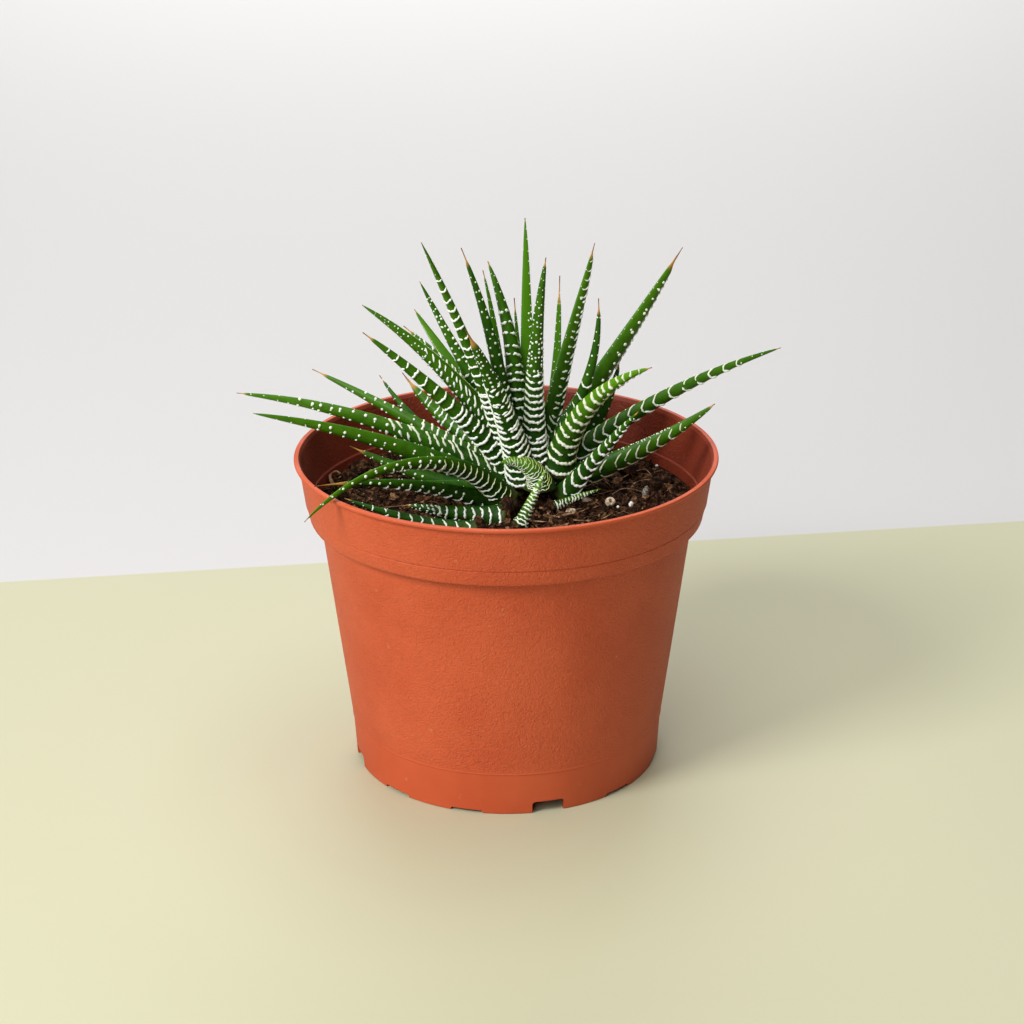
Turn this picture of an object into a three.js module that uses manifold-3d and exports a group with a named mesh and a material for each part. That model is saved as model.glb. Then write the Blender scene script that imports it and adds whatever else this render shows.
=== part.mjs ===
// Potted haworthia: a clump of banded, pointed leaves in a round moulded plastic nursery pot.
// Millimetres, +Z up, +X to the viewer's right. The origin is the middle of the pot's foot.

import * as THREE from 'three';
import { mergeVertices } from 'three/addons/utils/BufferGeometryUtils.js';
import Module from 'manifold-3d';

const wasm = await Module();
wasm.setup();

// Driving sizes of the pot
const POT_SEGMENTS = 48;
const RIM_RADIUS = 60;
const RIM_TOP = 92;
const LIP_BOTTOM = 91;
const COLLAR_TOP_RADIUS = 58.7;
const CREASE_Z = 78.8;
const CREASE_RADIUS = 57.1;
const COLLAR_BOTTOM = 74.1;
const STEP_RADIUS = 56.2;
const BODY_TOP_RADIUS = 53.1;
const FOOT_LINE_Z = 12.9;
const FOOT_LINE_RADIUS = 45.3;
const FOOT_RADIUS = 44.4;
const WALL = 1.3;
const LEDGE_Z = 75.1;
const FLOOR_BOTTOM = 4.6;
const FLOOR_TOP = 6;
const NOTCH_COUNT = 12;
const NOTCH_WIDTH = 9.2;
const NOTCH_HEIGHT_DEEP = 3.6;
const NOTCH_HEIGHT_SHALLOW = 1;
const NOTCH_START_DEG = -75;
const NOTCH_CORNER = 0.9;
const DRAIN_COUNT = 8;
const DRAIN_RADIUS = 4;
const DRAIN_CIRCLE_RADIUS = 33;

// Driving sizes of the soil and of the short stems that the leaves grow from
const CLEARANCE = 0.3;
const SOIL_LEVEL = 76;
const SOIL_BUMP = 0.9;
const ROOT_DEPTH = 14;
const CROWN = { x: 8, y: 10, ring: 4.5 };
const CROWN_STEM = { radius: 5.2, shoulder: 84, top: 92 };
const OFFSET = { x: 0, y: -6 };
const OFFSET_STEM = { radius: 3.6, shoulder: 79, top: 82 };

// Driving shape of one leaf. Widths are shares of the leaf's own width.
const BLADE_TAPER = 0.65;
const SHEATH_FLARE = 0.35;
const SHEATH_REACH = 0.12;
const OUTER_DEPTH = 0.52;
const INNER_CROWN = 0.12;
const TIP_HALF_WIDTH = 0.4;
const BAND_HALF_PITCH = 2.7;
const BAND_RELIEF = 0.45;
const BANDED_SHARE = 0.62;
const TIP_STEP = 6;
const ROOM_STEP = 6;

// Colours
const TERRACOTTA = 0xc4603a;
const PEAT = 0x3a271b;
const LEAF_GREEN = 0x4f7f2c;
const STEM_GREEN = 0x8c8a4c;

const rad = THREE.MathUtils.degToRad;
const group = new THREE.Group();

// Leaves a mesh with positions and triangles only, its shared corners merged
function weld(geometry) {
  const plain = new THREE.BufferGeometry();
  plain.setAttribute('position', geometry.getAttribute('position').clone());
  if (geometry.index) {
    plain.setIndex(geometry.index.clone());
  }
  const merged = mergeVertices(plain, 1e-4);
  const kept = [];
  for (let i = 0; i < merged.index.count; i += 3) {
    const [a, b, c] = [0, 1, 2].map((k) => merged.index.getX(i + k));
    if (a !== b && b !== c && c !== a) {
      kept.push(a, b, c);
    }
  }
  merged.setIndex(kept);
  return merged;
}

function solidFrom(geometry) {
  const plain = weld(geometry);
  return new wasm.Manifold(new wasm.Mesh({
    numProp: 3,
    vertProperties: new Float32Array(plain.getAttribute('position').array),
    triVerts: new Uint32Array(plain.index.array),
  }));
}

function geometryFrom(solid) {
  const mesh = solid.getMesh();
  const geometry = new THREE.BufferGeometry();
  geometry.setAttribute('position', new THREE.BufferAttribute(new Float32Array(mesh.vertProperties), 3));
  geometry.setIndex(new THREE.BufferAttribute(new Uint32Array(mesh.triVerts), 1));
  geometry.computeVertexNormals();
  return geometry;
}

function largestPiece(solid) {
  return solid.decompose().reduce((best, piece) => (piece.volume() > best.volume() ? piece : best));
}

function addPiece(name, solid, color, roughness) {
  const material = new THREE.MeshStandardMaterial({ color, roughness, metalness: 0 });
  const mesh = new THREE.Mesh(geometryFrom(solid), material);
  mesh.name = name;
  group.add(mesh);
}

// A turned solid from [radius, height] corners, standing on +Z
function turned(corners, segments, x = 0, y = 0) {
  const profile = corners.map(([radius, height]) => new THREE.Vector2(radius, height));
  return new THREE.LatheGeometry(profile, segments).rotateX(Math.PI / 2).translate(x, y, 0);
}

// The pot: foot ring, tapered body, stepped collar and rounded lip
function makePot() {
  const innerAt = (z) => {
    const share = (z - FOOT_LINE_Z) / (COLLAR_BOTTOM - FOOT_LINE_Z);
    return THREE.MathUtils.lerp(FOOT_LINE_RADIUS, BODY_TOP_RADIUS, share) - WALL;
  };
  const outer = [
    [0, FLOOR_BOTTOM],
    [FOOT_RADIUS - 1.8, FLOOR_BOTTOM],
    [FOOT_RADIUS - 1.5, 0],
    [FOOT_RADIUS, 0],
    [FOOT_LINE_RADIUS - 0.1, FOOT_LINE_Z - 0.6],
    [FOOT_LINE_RADIUS + 0.15, FOOT_LINE_Z - 0.2],
    [FOOT_LINE_RADIUS + 0.1, FOOT_LINE_Z + 0.4],
    [BODY_TOP_RADIUS, COLLAR_BOTTOM],
    [STEP_RADIUS - 0.7, COLLAR_BOTTOM + 0.2],
    [STEP_RADIUS, COLLAR_BOTTOM + 1],
    [CREASE_RADIUS - 0.2, CREASE_Z - 0.3],
    [CREASE_RADIUS - 0.4, CREASE_Z],
    [CREASE_RADIUS, CREASE_Z + 0.3],
    [COLLAR_TOP_RADIUS, LIP_BOTTOM],
    [RIM_RADIUS - 0.3, LIP_BOTTOM],
    [RIM_RADIUS, LIP_BOTTOM + 0.3],
    [RIM_RADIUS, RIM_TOP - 0.4],
    [RIM_RADIUS - 0.5, RIM_TOP],
  ];
  const inner = [
    [RIM_RADIUS - 1.5, RIM_TOP],
    [RIM_RADIUS - 2, LIP_BOTTOM],
    [CREASE_RADIUS - WALL, CREASE_Z + 0.3],
    [CREASE_RADIUS - WALL - 0.5, CREASE_Z],
    [STEP_RADIUS - WALL, LEDGE_Z],
    [innerAt(LEDGE_Z), LEDGE_Z],
    [innerAt(FOOT_LINE_Z), FOOT_LINE_Z],
    [innerAt(FLOOR_TOP), FLOOR_TOP],
    [0, FLOOR_TOP],
  ];
  let pot = solidFrom(turned([...outer, ...inner], POT_SEGMENTS));

  for (let i = 0; i < NOTCH_COUNT; i += 1) {
    const height = i % 3 === 0 ? NOTCH_HEIGHT_DEEP : NOTCH_HEIGHT_SHALLOW;
    pot = pot.subtract(notch(height, NOTCH_START_DEG + (360 / NOTCH_COUNT) * i));
  }
  for (let i = 0; i < DRAIN_COUNT; i += 1) {
    const angle = (2 * Math.PI * i) / DRAIN_COUNT;
    const hole = new THREE.CylinderGeometry(DRAIN_RADIUS, DRAIN_RADIUS, FLOOR_TOP, 12).rotateX(Math.PI / 2);
    hole.translate(DRAIN_CIRCLE_RADIUS * Math.cos(angle), DRAIN_CIRCLE_RADIUS * Math.sin(angle), FLOOR_TOP);
    pot = pot.subtract(solidFrom(hole));
  }
  return pot;
}

// A notch through the foot ring, with rounded upper corners
function notch(height, angleDeg) {
  const half = NOTCH_WIDTH / 2;
  const corner = Math.min(NOTCH_CORNER, height / 2);
  const shape = new THREE.Shape();
  shape.moveTo(-half, -1);
  shape.lineTo(half, -1);
  shape.lineTo(half, height - corner);
  shape.absarc(half - corner, height - corner, corner, 0, Math.PI / 2, false);
  shape.lineTo(-half + corner, height);
  shape.absarc(-half + corner, height - corner, corner, Math.PI / 2, Math.PI, false);
  const reach = 6;
  const geometry = new THREE.ExtrudeGeometry(shape, { depth: reach, bevelEnabled: false, curveSegments: 2 });
  geometry.rotateX(Math.PI / 2);
  geometry.translate(0, FOOT_RADIUS + reach / 2, 0);
  geometry.rotateZ(rad(angleDeg - 90));
  return solidFrom(geometry);
}

// The peat fills the pot to just over the ledge in the collar, with an uneven top
function makeSoil() {
  const wallAt = (z) => {
    const share = (z - FOOT_LINE_Z) / (COLLAR_BOTTOM - FOOT_LINE_Z);
    return THREE.MathUtils.lerp(FOOT_LINE_RADIUS, BODY_TOP_RADIUS, share) - WALL - CLEARANCE;
  };
  const edge = STEP_RADIUS - WALL - CLEARANCE;
  const rings = [1, 0.83, 0.66, 0.5, 0.34, 0.17, 0];
  const geometry = turned([
    [0, FLOOR_TOP + CLEARANCE],
    [wallAt(FLOOR_TOP), FLOOR_TOP + CLEARANCE],
    [wallAt(LEDGE_Z), LEDGE_Z + CLEARANCE],
    [edge, LEDGE_Z + CLEARANCE],
    ...rings.map((share) => [edge * share, SOIL_LEVEL]),
  ], 32);
  const position = geometry.getAttribute('position');
  for (let i = 0; i < position.count; i += 1) {
    const x = position.getX(i);
    const y = position.getY(i);
    if (position.getZ(i) > SOIL_LEVEL - CLEARANCE && Math.hypot(x, y) < edge - 1) {
      const wave = Math.sin(0.31 * x + 1.3) * Math.cos(0.27 * y - 0.4) + 0.6 * Math.sin(0.52 * x - 0.43 * y);
      position.setZ(i, SOIL_LEVEL + SOIL_BUMP * wave);
    }
  }
  return solidFrom(geometry);
}

function makeStem(place, stem, grow = 0) {
  const radius = stem.radius + grow;
  return solidFrom(turned([
    [0, SOIL_LEVEL - ROOT_DEPTH - grow],
    [radius * 0.6, SOIL_LEVEL - ROOT_DEPTH - grow],
    [radius, SOIL_LEVEL - 4],
    [radius, stem.shoulder],
    [radius * 0.55, stem.top - 1 + grow],
    [0, stem.top + grow],
  ], 14, place.x, place.y));
}

// Where a leaf is seated: on the ring round the crown's stem, or at a stated spot
const onCrown = (heading, seat) => [
  CROWN.x + CROWN.ring * Math.cos(rad(heading)),
  CROWN.y + CROWN.ring * Math.sin(rad(heading)),
  SOIL_LEVEL + 1 + seat,
];
const at = (x, y, seat) => [x, y, SOIL_LEVEL + 1 + seat];

const leaves = [];

// All angles are in degrees. heading is the way the leaf points, rise its slope at the foot and
// bend how much that slope changes on the way to the tip. roll turns the leaf about its own
// length, which shows its outer face to one side, and hook is an edgewise bend.
function leaf(name, foot, heading, rise, bend, length, width, roll = 0, hook = 0) {
  leaves.push({ name, foot, heading, rise, bend, length, width, roll, hook });
}

// Upright leaves in the heart of the crown
leaf('leaf_heart_1', at(7, 13.5, 12.5), 99, 86, -9, 65, 5.5);
leaf('leaf_heart_2', at(8, 6, 9.5), -55, 93, -16, 62, 7, -22);
leaf('leaf_heart_3', at(2.5, 14, 12.5), 141, 96, -33, 54, 7, 127);
leaf('leaf_heart_4', at(1.5, 11, 11), 178, 85, -16, 62, 5.5, 76);
leaf('leaf_heart_5', at(0.5, 17.5, 9), 125, 88, -23, 53, 4);
leaf('leaf_heart_6', at(5.5, 18, 9), 105, 74, 1, 44, 3);
leaf('leaf_heart_7', at(11.5, 14, 9), 63, 73, 15, 52, 4);
leaf('leaf_heart_8', at(8, 11.5, 9.5), 20, 74, -1, 64, 10, -30);
leaf('leaf_heart_9', at(9.5, 9.5, 9.5), -5, 49, 44, 52, 5.5, -53);

// Leaves leaning to the left
leaf('leaf_left_1', at(2, 8, 7), 199, 73, -8, 74, 5.5, 64);
leaf('leaf_left_2', at(5.5, 5.5, 5), 222, 73, -15, 54, 9, 34);
leaf('leaf_left_3', at(3.5, 11.5, 10), 162, 57, 4, 57, 6, 84);
leaf('leaf_left_4', at(3.5, 13, 8), 133, 37, 2, 57, 8);
leaf('leaf_left_5', at(4.5, 12, 6), 151, 56, -26, 54, 5.5, 94);
leaf('leaf_left_6', at(3.5, 10, 7), 182, 62, -28, 66, 8, 64);
leaf('leaf_left_7', at(3, 9, 5), 192, 52, -12, 63, 7, 76);
leaf('leaf_left_8', at(4, 12.5, 7), 149, 8, 38, 46, 8, 93);
leaf('leaf_left_9', at(0, 12.5, 1.5), 142, 4, 42, 54, 5.5, 95);
leaf('leaf_left_10', at(4, 12, 1.5), 158, 25, -7, 71, 7, 66);
leaf('leaf_left_11', at(2.5, 10, 2.5), 174, 31, -29, 85, 9, 41);
leaf('leaf_left_12', at(3, 8.5, -0.5), 192, 31, -19, 81, 9, 44);

// Leaves leaning to the right
leaf('leaf_right_1', at(9, 12.5, 10), 17, 52, 2, 72, 11, -32);
leaf('leaf_right_2', at(12, 12, 4), 25, 30, 46, 39, 8.5, -63);
leaf('leaf_right_3', at(14.5, 6.5, 7), -35, 78, -57, 50, 8.5, -42);
leaf('leaf_right_4', at(11, 9, 5), 3, 41, -25, 77, 7.5, -53);
leaf('leaf_right_5', at(13.5, 9.5, 3), -15, 20, 20, 54, 9.5, -47);
leaf('leaf_right_6', at(16.5, 1.5, 1.5), -30, 53, -4, 37, 6, -51);

// Low leaves behind the crown
leaf('leaf_back_1', onCrown(62, 3), 62, 14, 0, 40, 6.5);
leaf('leaf_back_2', onCrown(88, 5), 88, 32, -4, 40, 7);
leaf('leaf_back_3', onCrown(108, 4), 108, 30, -4, 42, 7);
leaf('leaf_back_4', onCrown(125, 1.5), 125, 16, 0, 41, 5.5);
leaf('leaf_back_5', onCrown(76, 0.5), 76, 7, 0, 37, 6.5);
leaf('leaf_back_6', onCrown(99, 0.5), 99, 6, 0, 36, 6.5);

// Old leaves at the front left, two of them reaching over the rim
leaf('leaf_front_1', at(-0.5, -4, 2.5), 217, 53, -91, 75, 7, 39);
leaf('leaf_front_2', at(-4, -4.5, 1.5), 212, 28, -24, 59, 5.5, 55);
leaf('leaf_front_3', at(-4, 1, 2), 173, 10, 14, 43, 6.5, 63);
leaf('leaf_front_4', at(-2.5, -1, 3.5), 196, 15, -7, 26, 8, 51);
leaf('leaf_front_5', at(-0.5, -12, 0), 182, 5, 6, 28, 6.5, 81);
leaf('leaf_front_6', at(-8, -20.5, -0.5), 178, 5, 17, 38, 4.5, 82);

// Young shoots that come up through the peat in front of the crown
leaf('shoot_leaf_1', at(9.5, -0.5, 4.5), 270, 90, 0, 15.5, 7.5, 0, -115);
leaf('shoot_leaf_2', at(3, -19.5, -1), 45, 50, 4, 19, 4.2, -115);
leaf('shoot_leaf_3', at(13, -6, 0.6), 24, 13, -5, 15.5, 3, -72);

function widthAt(row, share) {
  const blade = (1 - share) ** BLADE_TAPER;
  const sheath = SHEATH_FLARE * Math.exp(-share / SHEATH_REACH) * (1 - share);
  return Math.max(row.width * (blade + sheath), 2 * TIP_HALF_WIDTH);
}

// Shares of the length at which the leaf gets a ring of corners: close together where it is
// banded, with a crest on every second one, and wide apart on the smooth tip
function ringShares(row, step) {
  if (step) {
    const count = Math.max(2, Math.ceil(row.length / step));
    return Array.from({ length: count + 1 }, (unused, i) => ({ share: i / count, crest: false }));
  }
  const banded = Math.max(2, Math.round((row.length * BANDED_SHARE) / BAND_HALF_PITCH));
  const smooth = Math.max(1, Math.round((row.length * (1 - BANDED_SHARE)) / TIP_STEP));
  const shares = [];
  for (let i = 0; i < banded; i += 1) {
    shares.push({ share: (BANDED_SHARE * i) / banded, crest: i % 2 === 1 });
  }
  for (let i = 0; i <= smooth; i += 1) {
    shares.push({ share: BANDED_SHARE + ((1 - BANDED_SHARE) * i) / smooth, crest: false });
  }
  return shares;
}

// The leaf's own directions at a share of its length: along it, to its left margin and to the
// inner face
function directionsAt(row, share) {
  const heading = rad(row.heading);
  const slope = rad(row.rise + row.bend * share);
  const along = new THREE.Vector3(
    Math.cos(slope) * Math.cos(heading),
    Math.cos(slope) * Math.sin(heading),
    Math.sin(slope),
  );
  const side = new THREE.Vector3(-Math.sin(heading), Math.cos(heading), 0);
  const inward = new THREE.Vector3().crossVectors(along, side);
  along.applyAxisAngle(inward, rad(row.hook * share));
  side.applyAxisAngle(inward, rad(row.hook * share)).applyAxisAngle(along, rad(row.roll));
  inward.applyAxisAngle(along, rad(row.roll));
  return { along, side, inward };
}

// One leaf: a keeled, pointed blade that follows an arc, banded with ridges on its outer face.
// grow gives the same leaf fattened all round, which cuts the room for it in its neighbours.
function leafSolid(row, grow = 0) {
  const point = new THREE.Vector3(...row.foot);
  const corners = [];
  const rings = ringShares(row, grow > 0 ? ROOM_STEP : 0);
  let last = 0;
  rings.forEach(({ share, crest }, index) => {
    point.addScaledVector(directionsAt(row, (share + last) / 2).along, row.length * (share - last));
    last = share;
    const { along, side, inward } = directionsAt(row, share);
    const half = widthAt(row, share) / 2 + grow;
    const ridge = grow > 0 ? BAND_RELIEF : BAND_RELIEF * Number(crest);
    const depth = 2 * half * OUTER_DEPTH + grow + ridge;
    const crown = 2 * half * INNER_CROWN + grow;
    const lengthen = (index === rings.length - 1 ? grow : 0) - (index === 0 ? grow : 0);
    const centre = point.clone().addScaledVector(along, lengthen);
    const section = [[-1, 0], [-0.56, -0.78 * depth], [0, -depth], [0.56, -0.78 * depth], [1, 0], [0, crown]];
    section.forEach(([across, up]) => {
      corners.push(centre.clone().addScaledVector(side, across * half).addScaledVector(inward, up));
    });
  });
  return solidFrom(loft(corners, 6));
}

// Closes rings of corners, each with the same count, into a body with flat ends
function loft(corners, count) {
  const rings = corners.length / count;
  const index = [];
  for (let r = 0; r < rings - 1; r += 1) {
    for (let k = 0; k < count; k += 1) {
      const a = r * count + k;
      const b = r * count + ((k + 1) % count);
      index.push(a, b, b + count, a, b + count, a + count);
    }
  }
  const end = (rings - 1) * count;
  for (let k = 1; k < count - 1; k += 1) {
    index.push(0, k + 1, k);
    index.push(end, end + k, end + k + 1);
  }
  const geometry = new THREE.BufferGeometry().setFromPoints(corners);
  geometry.setIndex(index);
  return geometry;
}

// Assembly. A leaf gives way to the stems and to the leaves listed before it, and the peat
// gives way to all of them, each with the same clearance.
addPiece('pot', makePot(), TERRACOTTA, 0.55);
addPiece('crown_stem', makeStem(CROWN, CROWN_STEM), STEM_GREEN, 0.6);
addPiece('offset_stem', makeStem(OFFSET, OFFSET_STEM), STEM_GREEN, 0.6);

const stemRoom = makeStem(CROWN, CROWN_STEM, CLEARANCE).add(makeStem(OFFSET, OFFSET_STEM, CLEARANCE));
let soil = makeSoil().subtract(stemRoom);
const placed = [];
for (const row of leaves) {
  let body = leafSolid(row).subtract(stemRoom);
  for (const room of placed) {
    body = body.subtract(room);
  }
  addPiece(row.name, largestPiece(body), LEAF_GREEN, 0.45);
  const room = leafSolid(row, CLEARANCE);
  placed.push(room);
  soil = soil.subtract(room);
}
addPiece('soil', largestPiece(soil), PEAT, 0.95);

export default group;
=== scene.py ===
"""Potted haworthia: a clump of banded, pointed leaves in a moulded plastic nursery pot.

Sizes are in millimetres and are turned to metres where a mesh is made. +Z is up, +X is the
viewer's right, and the origin is the middle of the pot's foot.
"""
from __future__ import annotations

import logging
import math
from dataclasses import dataclass
from enum import Enum
from typing import Any, Sequence

import bmesh
import bpy
import numpy as np
from mathutils import Matrix, Vector, noise


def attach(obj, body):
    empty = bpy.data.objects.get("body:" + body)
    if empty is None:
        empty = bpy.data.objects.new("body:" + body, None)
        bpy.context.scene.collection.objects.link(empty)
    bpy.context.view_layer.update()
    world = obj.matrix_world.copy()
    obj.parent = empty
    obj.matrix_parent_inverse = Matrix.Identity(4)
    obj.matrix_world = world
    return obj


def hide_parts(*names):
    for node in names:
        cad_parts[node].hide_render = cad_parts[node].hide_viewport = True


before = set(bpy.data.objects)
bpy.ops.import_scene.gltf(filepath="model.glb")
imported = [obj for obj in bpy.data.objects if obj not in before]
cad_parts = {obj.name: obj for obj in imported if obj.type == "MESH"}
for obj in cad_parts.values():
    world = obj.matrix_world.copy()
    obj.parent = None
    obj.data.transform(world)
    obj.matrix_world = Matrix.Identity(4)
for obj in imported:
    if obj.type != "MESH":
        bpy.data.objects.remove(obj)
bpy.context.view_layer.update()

MM = 0.001
BODY = "root"
LOG = logging.getLogger("haworthia")

# Heights and radii that the pot and the soil share
RIM_RADIUS = 60.0
RIM_TOP = 92.0
COLLAR_BOTTOM = 74.1
STEP_RADIUS = 56.2
BODY_TOP_RADIUS = 53.1
FOOT_LINE_Z = 12.9
FOOT_LINE_RADIUS = 45.3
WALL = 1.3
LEDGE_Z = 75.1
FLOOR_TOP = 6.0
SOIL_LEVEL = 76.0

# The crown that most leaves grow from
CROWN_X = 8.0
CROWN_Y = 10.0
CROWN_RING = 4.5

Point = tuple[float, float, float]
Socket = bpy.types.NodeSocket


def linear(code: str) -> tuple[float, float, float, float]:
    """Turns an sRGB hex colour into linear RGBA.

    Args:
        code: Six hex digits, without a leading mark.

    Returns:
        Linear red, green and blue, and an alpha of 1.
    """
    parts = [int(code[i:i + 2], 16) / 255 for i in (0, 2, 4)]
    line = [c / 12.92 if c <= 0.04045 else ((c + 0.055) / 1.055) ** 2.4 for c in parts]
    return (line[0], line[1], line[2], 1.0)


def add_node(tree: bpy.types.NodeTree, kind: str, links: dict[str, Any] | None = None,
             stops: Sequence[tuple[float, str]] = (), **settings: Any) -> bpy.types.Node:
    """Adds one node to a tree with its settings, values and links.

    Args:
        tree: The shader or geometry tree.
        kind: The node's type name.
        links: Input identifier or name, to a value or to the output socket that feeds it.
        stops: Places and hex colours of a colour ramp.
        **settings: Properties of the node itself.

    Returns:
        The new node.
    """
    node = tree.nodes.new(kind)
    for key, value in settings.items():
        setattr(node, key, value)
    if stops:
        ramp = node.color_ramp
        while len(ramp.elements) < len(stops):
            ramp.elements.new(1.0)
        for element, (place, code) in zip(ramp.elements, stops):
            element.position = place
            element.color = linear(code)
    for key, value in (links or {}).items():
        found = [s for s in node.inputs if s.identifier == key] or [node.inputs[key]]
        if isinstance(value, Socket):
            tree.links.new(value, found[0])
        else:
            found[0].default_value = value
    return node


def result(node: bpy.types.Node, key: str) -> Socket:
    """Gives an output socket of a node by its identifier."""
    return next(s for s in node.outputs if s.identifier == key)


def smooth_step(low: float, high: float, value: np.ndarray | float) -> np.ndarray:
    """Rises smoothly from 0 at low to 1 at high."""
    share = np.clip((np.asarray(value, float) - low) / (high - low), 0.0, 1.0)
    return share * share * (3 - 2 * share)


def link_mesh(name: str, mesh: bpy.types.Mesh) -> bpy.types.Object:
    """Puts a mesh in the scene as an object at the origin."""
    thing = bpy.data.objects.new(name, mesh)
    bpy.context.scene.collection.objects.link(thing)
    return thing


def mesh_from(name: str, points: np.ndarray, faces: Sequence[Sequence[int]],
              edges: Sequence[Sequence[int]] = (), smooth: bool = True) -> bpy.types.Mesh:
    """Makes a mesh from points in millimetres.

    Args:
        name: The mesh's name.
        points: Rows of x, y and z in millimetres.
        faces: Corner numbers of each face, outward side first.
        edges: Loose edges.
        smooth: True for smooth shading.

    Returns:
        The mesh, in metres.
    """
    mesh = bpy.data.meshes.new(name)
    mesh.from_pydata((np.asarray(points, float) * MM).tolist(), edges, faces)
    mesh.polygons.foreach_set("use_smooth", [smooth] * len(mesh.polygons))
    mesh.update()
    return mesh


def set_attribute(mesh: bpy.types.Mesh, name: str, values: np.ndarray) -> None:
    """Stores one float, or one vector, for each point of a mesh.

    Args:
        mesh: The mesh.
        name: The attribute's name.
        values: A flat row of floats, or rows of three.
    """
    values = np.asarray(values, np.float32)
    kind, field_name = ("FLOAT_VECTOR", "vector") if values.ndim == 2 else ("FLOAT", "value")
    attribute = mesh.attributes.new(name, kind, "POINT")
    attribute.data.foreach_set(field_name, values.ravel())


def made_mesh(thing: bpy.types.Object) -> bpy.types.Mesh:
    """Gives the plain mesh that an object's modifiers make."""
    depsgraph = bpy.context.evaluated_depsgraph_get()
    return bpy.data.meshes.new_from_object(thing.evaluated_get(depsgraph), depsgraph=depsgraph)


def run_tree(thing: bpy.types.Object, tree: bpy.types.NodeTree, inputs: dict[str, Any]) -> None:
    """Runs a geometry tree on an object and leaves the object with the plain result.

    Args:
        thing: The object whose mesh the tree reads.
        tree: The geometry tree.
        inputs: Values of the tree's named inputs.
    """
    modifier = thing.modifiers.new("make", "NODES")
    modifier.node_group = tree
    sockets = {i.name: i.identifier for i in tree.interface.items_tree if i.in_out == "INPUT"}
    for name, value in inputs.items():
        modifier[sockets[name]] = value
    made = made_mesh(thing)
    thing.modifiers.remove(modifier)
    old = thing.data
    thing.data = made
    bpy.data.meshes.remove(old)
    made.name = thing.name


def tube_faces(rings: int, columns: int) -> list[list[int]]:
    """Gives the faces of a tube that is closed by a pole at each end.

    Args:
        rings: How many rings of points the tube has.
        columns: Points in each ring. The first and the last pole follow after all rings.

    Returns:
        Corner numbers of each face, outward side first.
    """
    faces = []
    for ring in range(rings - 1):
        for k in range(columns):
            a, b = ring * columns + k, ring * columns + (k + 1) % columns
            faces.append([a, b, b + columns, a + columns])
    first, last, end = rings * columns, rings * columns + 1, (rings - 1) * columns
    for k in range(columns):
        after = (k + 1) % columns
        faces.append([first, after, k])
        faces.append([last, end + k, end + after])
    return faces


def settle(thing: bpy.types.Object, slot: str, *nodes: str) -> bpy.types.Object:
    """Seats a finished piece on the body and hides the CAD nodes that it stands for.

    Args:
        thing: The finished piece.
        slot: The record's material slot. It is not used.
        *nodes: The CAD nodes that it replaces.

    Returns:
        The same piece.
    """
    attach(thing, BODY)
    if nodes:
        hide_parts(*nodes)
    LOG.info("%s: %d faces", thing.name, len(thing.data.polygons))
    return thing


# Trees of nodes

class Tree:
    """A node tree in the making. Its methods add nodes and give one output each."""

    def __init__(self, tree: bpy.types.NodeTree) -> None:
        """Takes the tree that the nodes go into."""
        self.tree = tree

    def add(self, kind: str, output: str, links: dict[str, Any] | None = None,
            **settings: Any) -> Socket:
        """Adds a node.

        Args:
            kind: The node's type name.
            output: Identifier of the output that is wanted.
            links: Input identifier or name, to a value or to the output that feeds it.
            **settings: Properties of the node itself, and the stops of a colour ramp.

        Returns:
            The output.
        """
        return result(add_node(self.tree, kind, links, **settings), output)

    def maths(self, operation: str, *values: Any, clamp: bool = False) -> Socket:
        """Works out a number from up to three numbers or outputs."""
        links = dict(zip(("Value", "Value_001", "Value_002"), values))
        return self.add("ShaderNodeMath", "Value", links, operation=operation, use_clamp=clamp)


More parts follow.
